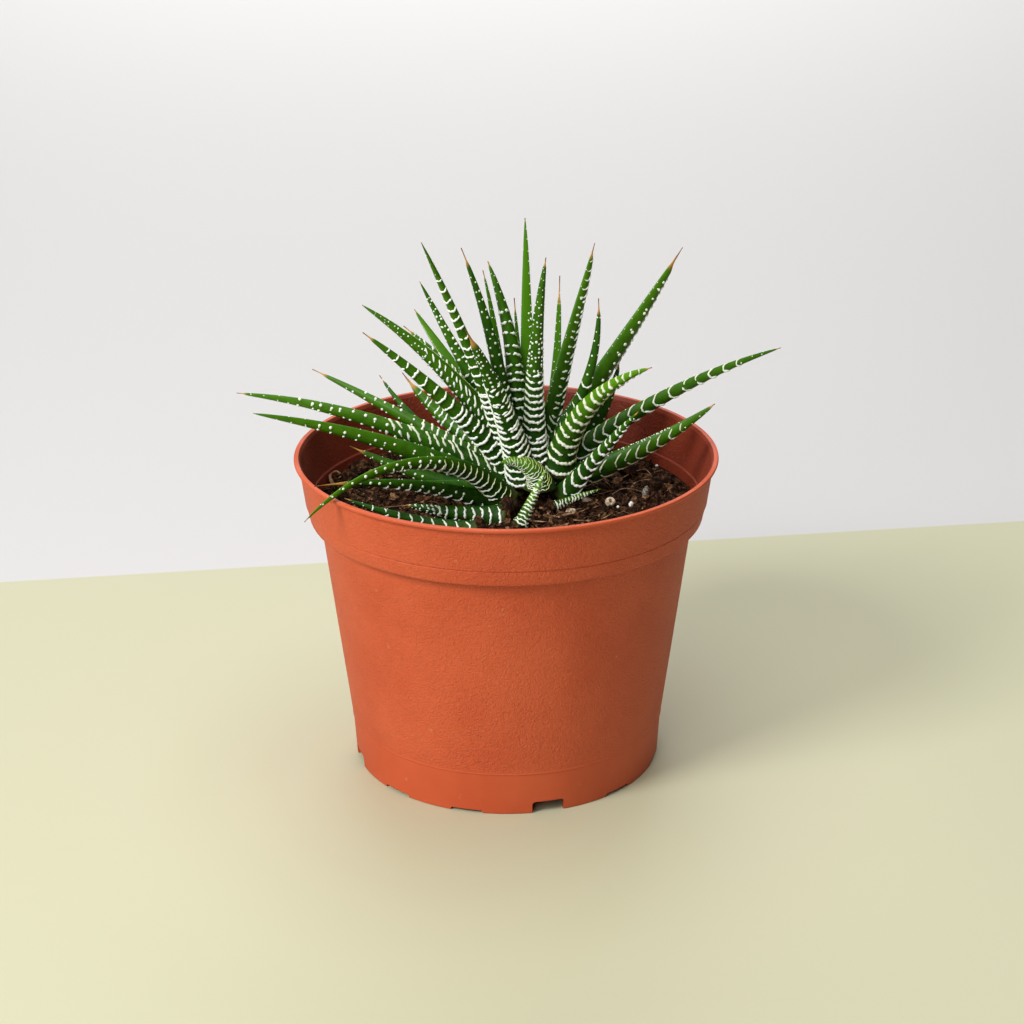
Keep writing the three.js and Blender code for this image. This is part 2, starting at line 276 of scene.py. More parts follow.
class SurfaceTree(Tree):
    """A material in the making, with its main shader and the place on the piece."""

    def __init__(self, name: str) -> None:
        """Starts an empty node material."""
        self.material = bpy.data.materials.new(name)
        self.material.use_nodes = True
        super().__init__(self.material.node_tree)
        self.shader = self.tree.nodes["Principled BSDF"]
        self.place = self.add("ShaderNodeTexCoord", "Object")

    def noise(self, size_mm: float, detail: float, roughness: float = 0.5,
              bend: float = 0.0) -> Socket:
        """Gives a noise.

        Args:
            size_mm: How large its patches are, in millimetres.
            detail: How many finer noises lie on it.
            roughness: How strong those are.
            bend: How far it is distorted.

        Returns:
            The noise, from 0 to 1.
        """
        return self.add("ShaderNodeTexNoise", "Fac", {
            "Vector": self.place, "Scale": 1000 / size_mm, "Detail": detail,
            "Roughness": roughness, "Distortion": bend})

    def carried(self, name: str) -> Socket:
        """Reads a number that the points of the mesh carry."""
        return self.add("ShaderNodeAttribute", "Fac", attribute_name=name)

    def rise(self, value: Socket, low: float, high: float,
             first: float = 0.0, last: float = 1.0) -> Socket:
        """Goes from first to last while a value goes from low to high."""
        return self.add("ShaderNodeMapRange", "Result", {
            "Value": value, "From Min": low, "From Max": high, "To Min": first, "To Max": last})

    def ramp(self, value: Socket, *stops: tuple[float, str]) -> Socket:
        """Gives a colour by a value, from stops with a place and a hex colour."""
        return self.add("ShaderNodeValToRGB", "Color", {"Fac": value}, stops=stops)

    def mix(self, share: Socket, first: Socket | str, second: Socket | str) -> Socket:
        """Mixes two colours, outputs or hex codes, by the share of the second."""
        one, two = (linear(c) if isinstance(c, str) else c for c in (first, second))
        return self.add("ShaderNodeMix", "Result_Color", {
            "Factor_Float": share, "A_Color": one, "B_Color": two}, data_type="RGBA")

    def bump(self, height: Socket, strength: Socket | float, depth_mm: float) -> None:
        """Lets the light see relief.

        Args:
            height: The relief, from 0 to 1.
            strength: How much of it shows.
            depth_mm: How high 1 stands, in millimetres.
        """
        normal = self.add("ShaderNodeBump", "Normal", {
            "Strength": strength, "Distance": depth_mm * MM, "Height": height})
        self.tree.links.new(normal, self.shader.inputs["Normal"])

    def finish(self, colour: Socket, values: dict[str, Any]) -> bpy.types.Material:
        """Ends the material.

        Args:
            colour: The base colour.
            values: Plain values of the shader's inputs, by name.

        Returns:
            The material.
        """
        self.tree.links.new(colour, self.shader.inputs["Base Color"])
        for name, value in values.items():
            self.shader.inputs[name].default_value = value
        return self.material


class ShapeTree(Tree):
    """A geometry tree in the making, with named inputs."""

    def __init__(self, name: str, inputs: dict[str, str]) -> None:
        """Starts the tree.

        Args:
            name: The tree's name.
            inputs: The kind of each input after the geometry, by its name.
        """
        super().__init__(bpy.data.node_groups.new(name, "GeometryNodeTree"))
        face = self.tree.interface
        for label, kind in {"Geometry": "Geometry", **inputs}.items():
            face.new_socket(label, in_out="INPUT", socket_type="NodeSocket" + kind)
        face.new_socket("Geometry", in_out="OUTPUT", socket_type="NodeSocketGeometry")
        self.start = self.tree.nodes.new("NodeGroupInput")
        self.end = self.tree.nodes.new("NodeGroupOutput")

    def given(self, name: str = "Geometry") -> Socket:
        """Gives one of the tree's inputs."""
        return self.start.outputs[name]

    def carried(self, name: str, kind: str = "FLOAT") -> Socket:
        """Reads a value that the points of the mesh carry."""
        return self.add("GeometryNodeInputNamedAttribute", "Attribute", {"Name": name},
                        data_type=kind)

    def part(self, geometry: Socket, value: Socket, limit: float) -> tuple[Socket, Socket]:
        """Parts a geometry by its points.

        Args:
            geometry: What is parted.
            value: A number for each point.
            limit: What the number has to be over.

        Returns:
            The points over the limit, and the others.
        """
        over = self.add("FunctionNodeCompare", "Result", {"A": value, "B": limit},
                        data_type="FLOAT", operation="GREATER_THAN")
        node = add_node(self.tree, "GeometryNodeSeparateGeometry",
                        {"Geometry": geometry, "Selection": over}, domain="POINT")
        return result(node, "Selection"), result(node, "Inverted")

    def sweep(self, lines: Socket, sides: Socket, girth: Socket) -> Socket:
        """Turns loose edges into round strands with closed ends.

        Args:
            lines: The edges.
            sides: Faces round a strand.
            girth: Half the thickness at each point.

        Returns:
            The strands.
        """
        curve = self.add("GeometryNodeMeshToCurve", "Curve", {"Mesh": lines})
        ring = self.add("GeometryNodeCurvePrimitiveCircle", "Curve", {
            "Resolution": sides, "Radius": 1.0}, mode="RADIUS")
        return self.add("GeometryNodeCurveToMesh", "Mesh", {
            "Curve": curve, "Profile Curve": ring, "Scale": girth, "Fill Caps": True})

    def plain(self, kind: str, geometry: Socket) -> Socket:
        """Adds a node that takes a geometry alone."""
        return self.add("GeometryNode" + kind, "Geometry", {"Geometry": geometry})

    def join(self, *parts: Socket) -> Socket:
        """Joins geometries into one.

        Args:
            *parts: The geometries, in order.

        Returns:
            The whole.
        """
        node = add_node(self.tree, "GeometryNodeJoinGeometry")
        for part in parts:
            self.tree.links.new(part, node.inputs[0])
        return result(node, "Geometry")

    def coat(self, geometry: Socket, finish: Socket) -> Socket:
        """Gives a geometry its finish."""
        return self.add("GeometryNodeSetMaterial", "Geometry", {
            "Geometry": geometry, "Material": finish})

    def done(self, geometry: Socket) -> bpy.types.NodeTree:
        """Leads the result out and gives the tree."""
        self.tree.links.new(geometry, self.end.inputs[0])
        return self.tree


# Finishes

@dataclass(frozen=True)
class MouldedPolypropylene:
    """Terracotta-coloured polypropylene, injection moulded against a spark-eroded tool.

    The tool leaves fine, wavy, leathery creases on the collar and the body. The foot and the
    lip come out smooth. The eye gets a soft, broad sheen that breaks up. The inside carries a
    damp film of peat and is darkened further as painted shade. It reads the attribute inside.
    """

    light: str = "ca572d"
    deep: str = "c04c23"
    dusty: str = "cb7c52"
    # The inside's colour: a peat stain, darkened further as painted shade
    stained_and_shaded: str = "74260f"
    film_and_shade: float = 0.85
    dust: float = 0.5
    roughness: float = 0.6
    ior: float = 1.49
    crease_mm: float = 1.5
    crease_bend: float = 2.2
    crease_strength: float = 0.85
    crease_depth: float = 0.45
    speck_mm: float = 2.4
    cloud_mm: float = 30.0
    grain_low: float = 13.3
    grain_high: float = 90.6

    def build(self) -> bpy.types.Material:
        """Builds the material."""
        make = SurfaceTree("moulded_terracotta_polypropylene")
        cloud = make.noise(self.cloud_mm, 3.0, 0.55)
        tone = make.ramp(cloud, (0.36, self.deep), (0.62, self.light))
        specks = make.rise(make.noise(self.speck_mm, 1.0), 0.76, 0.82, 0.0, self.dust)
        # The inside gets a damp peat film, darkened further as painted shade
        damp_and_shade = make.maths("MULTIPLY", make.carried("inside"), self.film_and_shade)
        colour = make.mix(damp_and_shade, make.mix(specks, tone, self.dusty), self.stained_and_shaded)
        height = make.add("ShaderNodeSeparateXYZ", "Z", {"Vector": make.place})
        above = make.rise(height, (self.grain_low - 0.5) * MM, (self.grain_low + 0.5) * MM)
        below = make.rise(height, self.grain_high * MM, (self.grain_high + 0.3) * MM, 1.0, 0.0)
        grained = make.maths("MULTIPLY", above, below)
        strength = make.maths("MULTIPLY", grained, self.crease_strength)
        make.bump(make.noise(self.crease_mm, 2.0, 0.55, self.crease_bend), strength,
                  self.crease_depth)
        return make.finish(colour, {"Roughness": self.roughness, "IOR": self.ior})


@dataclass(frozen=True)
class GreenBlade:
    """The skin of a succulent leaf: waxy cuticle over firm green flesh.

    It is dark between the bands near the foot, where painted shade stands for the shade of the
    crown, brighter towards the tip, plainer and more yellow on the inner face, pale at the
    sheath and tan to brown where the tip has dried.
    """

    # Painted shade: the darker green that the skin takes towards the foot
    painted_shade: str = "1b3f0b"
    green: str = "204d09"
    bright: str = "588b0e"
    inner: str = "4a8010"
    sheath: str = "4a4a20"
    tan: str = "c08c48"
    brown: str = "5a3317"
    roughness: float = 0.42
    gloss: float = 0.16
    ior: float = 1.45
    mottle_mm: float = 2.6
    mottle: float = 0.7
    fibre_mm: float = 0.5
    fibre_strength: float = 0.18
    fibre_depth: float = 0.12
    glow: float = 0.12
    glow_reach: Point = (0.9 * MM, 1.4 * MM, 0.3 * MM)

    def build(self) -> bpy.types.Material:
        """Builds the material. It reads the attributes that each blade carries."""
        make = SurfaceTree("haworthia_leaf_skin")
        # Painted shade: darker towards the foot, where the crown and the bands shade the skin
        base = make.mix(make.carried("along"), self.painted_shade, self.green)
        lift = make.maths("MULTIPLY_ADD", make.noise(self.mottle_mm, 3.0, 0.6), self.mottle,
                          -self.mottle / 2)
        young = make.maths("ADD", make.carried("tone"), lift, clamp=True)
        faced = make.mix(make.carried("inner"), make.mix(young, base, self.bright), self.inner)
        footed = make.mix(make.carried("sheathed"), faced, self.sheath)
        dry = make.carried("dry")
        withered = make.ramp(dry, (0.45, self.tan), (1.0, self.brown))
        colour = make.mix(make.rise(dry, 0.02, 0.3), footed, withered)
        make.bump(make.noise(self.fibre_mm, 2.0), self.fibre_strength, self.fibre_depth)
        return make.finish(colour, {
            "Roughness": self.roughness, "IOR": self.ior, "Specular IOR Level": self.gloss,
            "Subsurface Weight": self.glow, "Subsurface Radius": self.glow_reach,
            "Subsurface Scale": 1.0})


@dataclass(frozen=True)
class WaxTubercle:
    """The white warts of the leaf: dead, air-filled cells under wax, chalk white and matt.

    They turn a pale yellow-green where they run out towards the leaf's margins.
    """

    chalk: str = "f4f7ee"
    margin: str = "c2cc72"
    roughness: float = 0.5
    ior: float = 1.45
    pore_mm: float = 0.35
    pore_strength: float = 0.2
    pore_depth: float = 0.06

    def build(self) -> bpy.types.Material:
        """Builds the material. It reads how far a wart has faded."""
        make = SurfaceTree("chalky_leaf_tubercle")
        colour = make.mix(make.carried("fade"), self.chalk, self.margin)
        make.bump(make.noise(self.pore_mm, 2.0), self.pore_strength, self.pore_depth)
        return make.finish(colour, {"Roughness": self.roughness, "IOR": self.ior})


@dataclass(frozen=True)
class Mottled:
    """A matt natural stuff in three tones, such as peat, bark, root skin or volcanic glass."""

    name: str
    dark: str
    middle: str
    light: str
    patch_mm: float
    grit_mm: float
    bump: float = 0.5
    roughness: float = 0.9
    gloss: float = 0.5
    depth: float = 0.25

    def build(self) -> bpy.types.Material:
        """Builds the material."""
        make = SurfaceTree(self.name)
        colour = make.ramp(make.noise(self.patch_mm, 4.0, 0.65), (0.34, self.dark),
                           (0.5, self.middle), (0.68, self.light))
        make.bump(make.noise(self.grit_mm, 3.0, 0.7), self.bump, self.depth)
        return make.finish(colour, {"Roughness": self.roughness,
                                    "Specular IOR Level": self.gloss})


# Moist peat compost, milled: warm brown crumbs and nearly black patches, partly painted shade of
# the hollows between them
PEAT = Mottled("milled_peat", "0b0401", "241307", "67432a", 1.5, 0.6, bump=1.0, gloss=0.12)
# Drier crumbs that lie on top: a lighter, warmer brown
CRUMB = Mottled("dry_peat_crumb", "150a04", "4a2e1a", "8d6846", 1.2, 0.5, bump=0.9, gloss=0.12)
# Composted pine bark, chipped: warm brown plates with paler broken edges
BARK = Mottled("chipped_bark", "1f0f06", "5a3a22", "a5805b", 1.6, 0.5, bump=0.8, gloss=0.2)
# Expanded perlite, popped grains: chalk white with grey pits
PERLITE = Mottled("expanded_perlite", "c4c0b4", "e6e3da", "f4f2ec", 0.8, 0.3)
# Grit, water worn: speckled grey-brown
GRIT = Mottled("river_grit", "3a322b", "736a60", "b3aaa0", 0.5, 0.3, roughness=0.6)
# Thin dry roots: tan with brown joints
ROOT = Mottled("dry_root", "4a2e1c", "8c6644", "c7a380", 2.0, 0.5, roughness=0.75)
# Peat fibres: fine brown threads
FIBRE = Mottled("peat_fibre", "24140a", "5c3f28", "a5835f", 2.6, 0.5, roughness=0.8, gloss=0.3)
# Old leaf sheaths and husks, dried to paper: straw coloured with brown stains
HUSK = Mottled("papery_sheath", "5c4028", "c2ad92", "e6dccb", 1.7, 0.5, roughness=0.6)
# The short stem inside the crown, wrapped in old sheath bases
STEM = Mottled("sheathed_stem", "120c05", "30240f", "5a4a24", 1.6, 0.5, roughness=0.7)


@dataclass(frozen=True)
class Litter:
    """One kind of litter: grains for each square centimetre, and half sizes in millimetres."""

    name: str
    finish: Mottled
    density: float
    smallest: float
    largest: float
    length: float
    flatness: float
    roundness: int
    seed: int


LITTER = (
    Litter("peat_crumbs", PEAT, 24.0, 0.3, 1.15, 1.2, 0.8, 1, 3),
    Litter("dry_crumbs", CRUMB, 11.0, 0.25, 0.85, 1.4, 0.6, 1, 12),
    Litter("peat_clods", PEAT, 6.5, 1.0, 2.6, 1.3, 0.7, 2, 6),
    Litter("bark_chips", BARK, 5.0, 0.7, 2.2, 1.7, 0.5, 2, 8),
    Litter("perlite_grains", PERLITE, 0.35, 0.18, 0.45, 1.1, 0.8, 2, 21),
)


# Leaves

class Mark(Enum):
    """The forms that a leaf's white tubercles take."""

    BAR = "ridges across the face, whole or broken into parts"
    DASH = "short ridges that slant across the face"
    DOT = "rows of round warts"


@dataclass(frozen=True)
class Zone:
    """One stretch of a leaf that carries one form of tubercle.

    start and stop are shares of the length. pitch is the spacing of the rows and girth half a
    tubercle's thickness, in millimetres. parts is how many tubercles a row has at most, and low
    and high are the shares of the leaf's marked face that the row spans.
    """

    mark: Mark
    start: float
    stop: float
    pitch: float
    girth: float
    parts: int = 1
    low: float = 0.0
    high: float = 1.0


BAR, DASH, DOT = Mark.BAR, Mark.DASH, Mark.DOT

# What the points of a leaf's rough mesh stand for: 0 is its skin
RIDGE = 1.0
BEAD = 2.0

# Rings of whole bands round the outer face, then spots
BANDED = (Zone(BAR, 0.03, 0.5, 2.2, 0.36), Zone(BAR, 0.5, 0.8, 3.0, 0.36, 2),
          Zone(DOT, 0.8, 0.97, 3.2, 0.3, 2))
# A few bands at the foot and rows of dots above them
SPOTTED = (Zone(BAR, 0.03, 0.2, 2.3, 0.34), Zone(DOT, 0.2, 0.97, 3.0, 0.36, 3))
# Short dashes in slanting rows
DASHED = (Zone(BAR, 0.03, 0.16, 2.2, 0.36, 2), Zone(DASH, 0.16, 0.97, 2.1, 0.33, 4))
# Open hoops that curve towards the tip
HOOPED = (Zone(BAR, 0.03, 0.8, 3.5, 0.28), Zone(DOT, 0.8, 0.97, 3.4, 0.3, 1))
# Smooth, with small warts at the margins only
BARE = (Zone(DOT, 0.1, 0.95, 2.8, 0.2, 2),)


@dataclass(frozen=True)
class LeafRow:
    """One leaf: where it is seated and how it grows, as in the CAD, and how it looks.

    heading is the way the leaf points, rise its slope at the foot and bend how much that slope
    changes on the way to the tip. roll turns the leaf about its own length and hook is an
    edgewise bend, all in degrees. zones are its tubercles and face the turns round the section
    between which they sit. curl says how far the ends of a band run towards the tip, dry is
    the length of the dried tip, tone runs from 0, dark, to 1, bright yellow-green, and faded
    turns the bands thinner and yellower across the face. Each hem is a pale line along a
    margin, with its turn, first and last share and girth.
    """

    name: str
    foot: Point
    heading: float
    rise: float
    bend: float
    length: float
    width: float
    roll: float = 0.0
    hook: float = 0.0
    zones: tuple[Zone, ...] = BANDED
    face: tuple[float, float] = (188.0, 352.0)
    curl: float = 0.45
    dry: float = 2.0
    tone: float = 0.4
    faded: float = 0.0
    hems: tuple[tuple[float, float, float, float], ...] = ()


def on_crown(heading: float, seat: float) -> Point:
    """Gives a foot on the ring round the crown's stem."""
    angle = math.radians(heading)
    return (CROWN_X + CROWN_RING * math.cos(angle), CROWN_Y + CROWN_RING * math.sin(angle),
            SOIL_LEVEL + 1 + seat)


def at(x: float, y: float, seat: float) -> Point:
    """Gives a foot at a stated spot."""
    return (x, y, SOIL_LEVEL + 1 + seat)


LEAVES = (
    # Upright leaves in the heart of the crown
    LeafRow("leaf_heart_1", at(7, 13.5, 12.5), 99, 86, -9, 65, 5.5, tone=0.75, dry=1,
            face=(100, 172), curl=0.1, zones=(
                Zone(DOT, 0.45, 0.62, 2.2, 0.32, 3),
                Zone(DOT, 0.62, 0.96, 3.0, 0.26, 1, 0.4, 0.8))),
    LeafRow("leaf_heart_2", at(8, 6, 9.5), -55, 93, -16, 62, 7, -22, tone=0.3, dry=3, zones=(
        Zone(BAR, 0.02, 0.4, 1.95, 0.4), Zone(BAR, 0.4, 0.44, 1.9, 0.36, 3),
        Zone(DOT, 0.44, 0.6, 1.3, 0.38, 6), Zone(DOT, 0.6, 0.78, 1.9, 0.3, 4),
        Zone(DOT, 0.78, 0.96, 2.6, 0.22, 3))),
    LeafRow("leaf_heart_3", at(2.5, 14, 12.5), 141, 96, -33, 54, 7, 127, tone=0.3, dry=1.5,
            curl=-0.55, zones=(
                Zone(BAR, 0.1, 0.4, 2.9, 0.42), Zone(BAR, 0.4, 0.74, 3.0, 0.38, 2),
                Zone(DOT, 0.74, 0.95, 2.6, 0.36, 2))),
    LeafRow("leaf_heart_4", at(1.5, 11, 11), 178, 85, -16, 62, 5.5, 76, tone=0.15, dry=6,
            zones=(Zone(BAR, 0.03, 0.3, 2.4, 0.38, 2), Zone(DOT, 0.3, 0.9, 2.7, 0.36, 3))),
    LeafRow("leaf_heart_5", at(0.5, 17.5, 9), 125, 88, -23, 53, 4, tone=0.35, dry=3,
            zones=BARE, face=(20, 160)),
    LeafRow("leaf_heart_6", at(5.5, 18, 9), 105, 74, 1, 44, 3, tone=0.15, dry=5, zones=BARE,
            face=(20, 160)),
    LeafRow("leaf_heart_7", at(11.5, 14, 9), 63, 73, 15, 52, 4, tone=0.35, dry=9, zones=BARE,
            face=(10, 170)),
    LeafRow("leaf_heart_8", at(8, 11.5, 9.5), 20, 74, -1, 64, 10, -30, tone=0.55, dry=5,
            face=(200, 282), zones=(
                Zone(BAR, 0.03, 0.2, 2.6, 0.3), Zone(DASH, 0.2, 0.76, 2.2, 0.34, 2, 0.1, 0.75),
                Zone(DOT, 0.3, 0.95, 2.0, 0.32, 1, 0.8), Zone(DASH, 0.76, 0.94, 2.6, 0.24, 1))),
    LeafRow("leaf_heart_9", at(9.5, 9.5, 9.5), -5, 49, 44, 52, 5.5, -53, tone=0.15, dry=5,
            face=(185, 318), curl=0.7, zones=(
                Zone(BAR, 0.03, 0.5, 3.5, 0.26), Zone(DOT, 0.5, 0.92, 3.4, 0.32, 2))),
    # Leaves leaning to the left
    LeafRow("leaf_left_1", at(2, 8, 7), 199, 73, -8, 74, 5.5, 64, tone=0.4, dry=0.4, zones=(
        Zone(BAR, 0.03, 0.34, 1.9, 0.41), Zone(BAR, 0.34, 0.84, 3.2, 0.33),
        Zone(DOT, 0.84, 0.96, 2.4, 0.2, 1, 0.0, 0.6))),
    LeafRow("leaf_left_2", at(5.5, 5.5, 5), 222, 73, -15, 54, 9, 34, tone=0.2, dry=7, zones=(
        Zone(BAR, 0.02, 0.3, 2.05, 0.4), Zone(BAR, 0.3, 0.46, 1.9, 0.38, 2),
        Zone(BAR, 0.46, 0.62, 1.9, 0.34, 4), Zone(DOT, 0.62, 0.86, 1.7, 0.36, 4))),
    LeafRow("leaf_left_3", at(3.5, 11.5, 10), 162, 57, 4, 57, 6, 84, tone=0.25, dry=0.8, zones=(
        Zone(BAR, 0.03, 0.2, 2.2, 0.34, 2), Zone(BAR, 0.2, 0.5, 2.3, 0.34, 3),
        Zone(DOT, 0.5, 0.93, 1.9, 0.42, 3))),
    LeafRow("leaf_left_4", at(3.5, 13, 8), 133, 37, 2, 57, 8, tone=0.7, dry=1.5,
            face=(168, 352), zones=(Zone(DOT, 0.1, 0.95, 1.9, 0.17, 1, 0.0, 0.02),),
            hems=((356.0, 0.1, 0.9, 0.09), (184.0, 0.3, 0.9, 0.08))),
    LeafRow("leaf_left_5", at(4.5, 12, 6), 151, 56, -26, 54, 5.5, 94, tone=0.35, dry=4,
            zones=DASHED),
    LeafRow("leaf_left_6", at(3.5, 10, 7), 182, 62, -28, 66, 8, 64, tone=0.4, dry=0.5,
            face=(212, 335), hems=((14.0, 0.1, 0.8, 0.12),), zones=(
                Zone(BAR, 0.03, 0.12, 2.2, 0.34, 3), Zone(DASH, 0.12, 0.66, 2.1, 0.3, 4),
                Zone(DOT, 0.66, 0.95, 1.7, 0.27, 3))),
    LeafRow("leaf_left_7", at(3, 9, 5), 192, 52, -12, 63, 7, 76, tone=0.35, dry=4, curl=0.2,
            zones=(Zone(BAR, 0.03, 0.42, 2.5, 0.42), Zone(BAR, 0.42, 0.86, 3.4, 0.34))),
    LeafRow("leaf_left_8", at(4, 12.5, 7), 149, 8, 38, 46, 8, 93, tone=0.35, dry=7, zones=(
        Zone(BAR, 0.03, 0.6, 2.9, 0.36), Zone(BAR, 0.6, 0.86, 2.6, 0.28, 2))),
    LeafRow("leaf_left_9", at(0, 12.5, 1.5), 142, 4, 42, 54, 5.5, 95, tone=0.15, dry=3,
            zones=SPOTTED),
    LeafRow("leaf_left_10", at(4, 12, 1.5), 158, 25, -7, 71, 7, 66, tone=0.45, dry=5.5,
            face=(240, 372), curl=0.5, zones=(
                Zone(BAR, 0.03, 0.46, 2.5, 0.47), Zone(DOT, 0.46, 0.88, 3.3, 0.44, 2))),
    LeafRow("leaf_left_11", at(2.5, 10, 2.5), 174, 31, -29, 85, 9, 41, tone=0.5, dry=3,
            face=(250, 366), curl=0.3, zones=(
                Zone(DASH, 0.04, 0.48, 2.7, 0.42, 3), Zone(DOT, 0.48, 0.85, 3.3, 0.48, 2),
                Zone(DOT, 0.85, 0.96, 4.0, 0.3, 1))),
    LeafRow("leaf_left_12", at(3, 8.5, -0.5), 192, 31, -19, 81, 9, 44, tone=0.5, dry=0.3,
            face=(246, 340), curl=0.3, zones=(
                Zone(DASH, 0.03, 0.36, 2.7, 0.38, 3), Zone(DOT, 0.36, 0.82, 3.5, 0.44, 2),
                Zone(DOT, 0.82, 0.96, 4.0, 0.3, 1))),
    # Leaves leaning to the right
    LeafRow("leaf_right_1", at(9, 12.5, 10), 17, 52, 2, 72, 11, -32, tone=0.55, dry=8,
            face=(212, 292), curl=0.2, zones=(
                Zone(DOT, 0.08, 0.84, 2.9, 0.5, 1, 0.1, 0.5),
                Zone(DASH, 0.12, 0.86, 2.2, 0.32, 1, 0.6, 1.0))),
    LeafRow("leaf_right_2", at(12, 12, 4), 25, 30, 46, 39, 8.5, -63, tone=0.1, dry=2,
            zones=SPOTTED),
    LeafRow("leaf_right_3", at(14.5, 6.5, 7), -35, 78, -57, 50, 8.5, -42, tone=0.95, dry=2,
            face=(184, 345), curl=0.3, faded=0.7, hems=((338.0, 0.04, 0.6, 0.2),), zones=(
                Zone(BAR, 0.03, 0.62, 3.0, 0.5), Zone(BAR, 0.62, 0.95, 2.3, 0.44, 2))),
    LeafRow("leaf_right_4", at(11, 9, 5), 3, 41, -25, 77, 7.5, -53, tone=0.35, dry=1.5,
            face=(172, 292), curl=1.1, zones=(
                Zone(BAR, 0.08, 0.84, 4.0, 0.3), Zone(DOT, 0.84, 0.96, 3.0, 0.28, 1))),
    LeafRow("leaf_right_5", at(13.5, 9.5, 3), -15, 20, 20, 54, 9.5, -47, tone=0.4, dry=2,
            face=(204, 312), curl=0.85, faded=0.7, zones=(
                Zone(BAR, 0.1, 0.8, 3.6, 0.25), Zone(DOT, 0.8, 0.95, 2.2, 0.3, 1),
                Zone(DOT, 0.1, 0.7, 1.5, 0.22, 2, -0.3, -0.08))),
    LeafRow("leaf_right_6", at(16.5, 1.5, 1.5), -30, 53, -4, 37, 6, -51, tone=0.2, dry=1.5,
            face=(188, 330), curl=0.85, zones=(
                Zone(BAR, 0.08, 0.6, 3.1, 0.4), Zone(BAR, 0.6, 0.95, 2.3, 0.36, 2))),
    # Low leaves behind the crown
    LeafRow("leaf_back_1", on_crown(62, 3), 62, 14, 0, 40, 6.5, tone=0.35, zones=HOOPED),
    LeafRow("leaf_back_2", on_crown(88, 5), 88, 32, -4, 40, 7, tone=0.4),
    LeafRow("leaf_back_3", on_crown(108, 4), 108, 30, -4, 42, 7, tone=0.35, dry=3,
            zones=DASHED),
    LeafRow("leaf_back_4", on_crown(125, 1.5), 125, 16, 0, 41, 5.5, dry=4, zones=SPOTTED),
    LeafRow("leaf_back_5", on_crown(76, 0.5), 76, 7, 0, 37, 6.5, tone=0.3, zones=HOOPED),
    LeafRow("leaf_back_6", on_crown(99, 0.5), 99, 6, 0, 36, 6.5, tone=0.3, dry=3,
            zones=SPOTTED),
    # Old leaves at the front left, two of them reaching over the rim
    LeafRow("leaf_front_1", at(-0.5, -4, 2.5), 217, 53, -91, 75, 7, 39, tone=0.6, dry=1.5,
            face=(236, 345), curl=0.2, faded=0.5, hems=((238.0, 0.02, 0.42, 0.2),), zones=(
                Zone(BAR, 0.03, 0.38, 2.3, 0.25), Zone(BAR, 0.38, 0.62, 2.9, 0.3, 1, 0.0, 0.7),
                Zone(DOT, 0.4, 0.95, 3.4, 0.46, 1, 0.75, 0.95))),
    LeafRow("leaf_front_2", at(-4, -4.5, 1.5), 212, 28, -24, 59, 5.5, 55, tone=0.2, dry=11,
            face=(232, 325), curl=0.6, zones=(
                Zone(BAR, 0.03, 0.66, 3.4, 0.3, 1, 0.0, 0.6),
                Zone(DOT, 0.2, 0.84, 3.4, 0.44, 1, 0.7, 0.9))),
    LeafRow("leaf_front_3", at(-4, 1, 2), 173, 10, 14, 43, 6.5, 63, tone=0.3, dry=5,
            face=(232, 325), zones=(Zone(DOT, 0.1, 0.9, 2.6, 0.4, 2),)),
    LeafRow("leaf_front_4", at(-2.5, -1, 3.5), 196, 15, -7, 26, 8, 51, tone=0.15, dry=2,
            face=(240, 300), zones=(Zone(DOT, 0.1, 0.9, 2.4, 0.36, 2),)),
    LeafRow("leaf_front_5", at(-0.5, -12, 0), 182, 5, 6, 28, 6.5, 81, tone=0.0, dry=1.5,
            face=(205, 345), curl=0.25, zones=(
                Zone(BAR, 0.05, 0.66, 2.3, 0.34), Zone(DASH, 0.66, 0.97, 1.5, 0.32, 4))),
    LeafRow("leaf_front_6", at(-8, -20.5, -0.5), 178, 5, 17, 38, 4.5, 82, tone=0.0, dry=2,
            face=(225, 345), curl=0.6, zones=(
                Zone(BAR, 0.05, 0.85, 3.4, 0.28), Zone(DOT, 0.85, 0.96, 2.6, 0.24, 1))),
    # Young shoots that come up through the peat in front of the crown
    LeafRow("shoot_leaf_1", at(9.5, -0.5, 4.5), 270, 90, 0, 15.5, 7.5, 0, -115, dry=0,
            tone=0.7, faded=0.9, zones=(Zone(BAR, 0.03, 0.97, 0.8, 0.15),)),
    LeafRow("shoot_leaf_2", at(3, -19.5, -1), 45, 50, 4, 19, 4.2, -115, dry=0, tone=0.95,
            curl=0.2, faded=0.5, zones=(
                Zone(BAR, 0.08, 0.62, 1.15, 0.25), Zone(BAR, 0.62, 0.96, 0.95, 0.26, 2))),
    LeafRow("shoot_leaf_3", at(13, -6, 0.6), 24, 13, -5, 15.5, 3, -72, dry=0, tone=0.8,
            faded=0.5, curl=0.2, zones=(Zone(BAR, 0.05, 0.95, 1.05, 0.24),)),
)


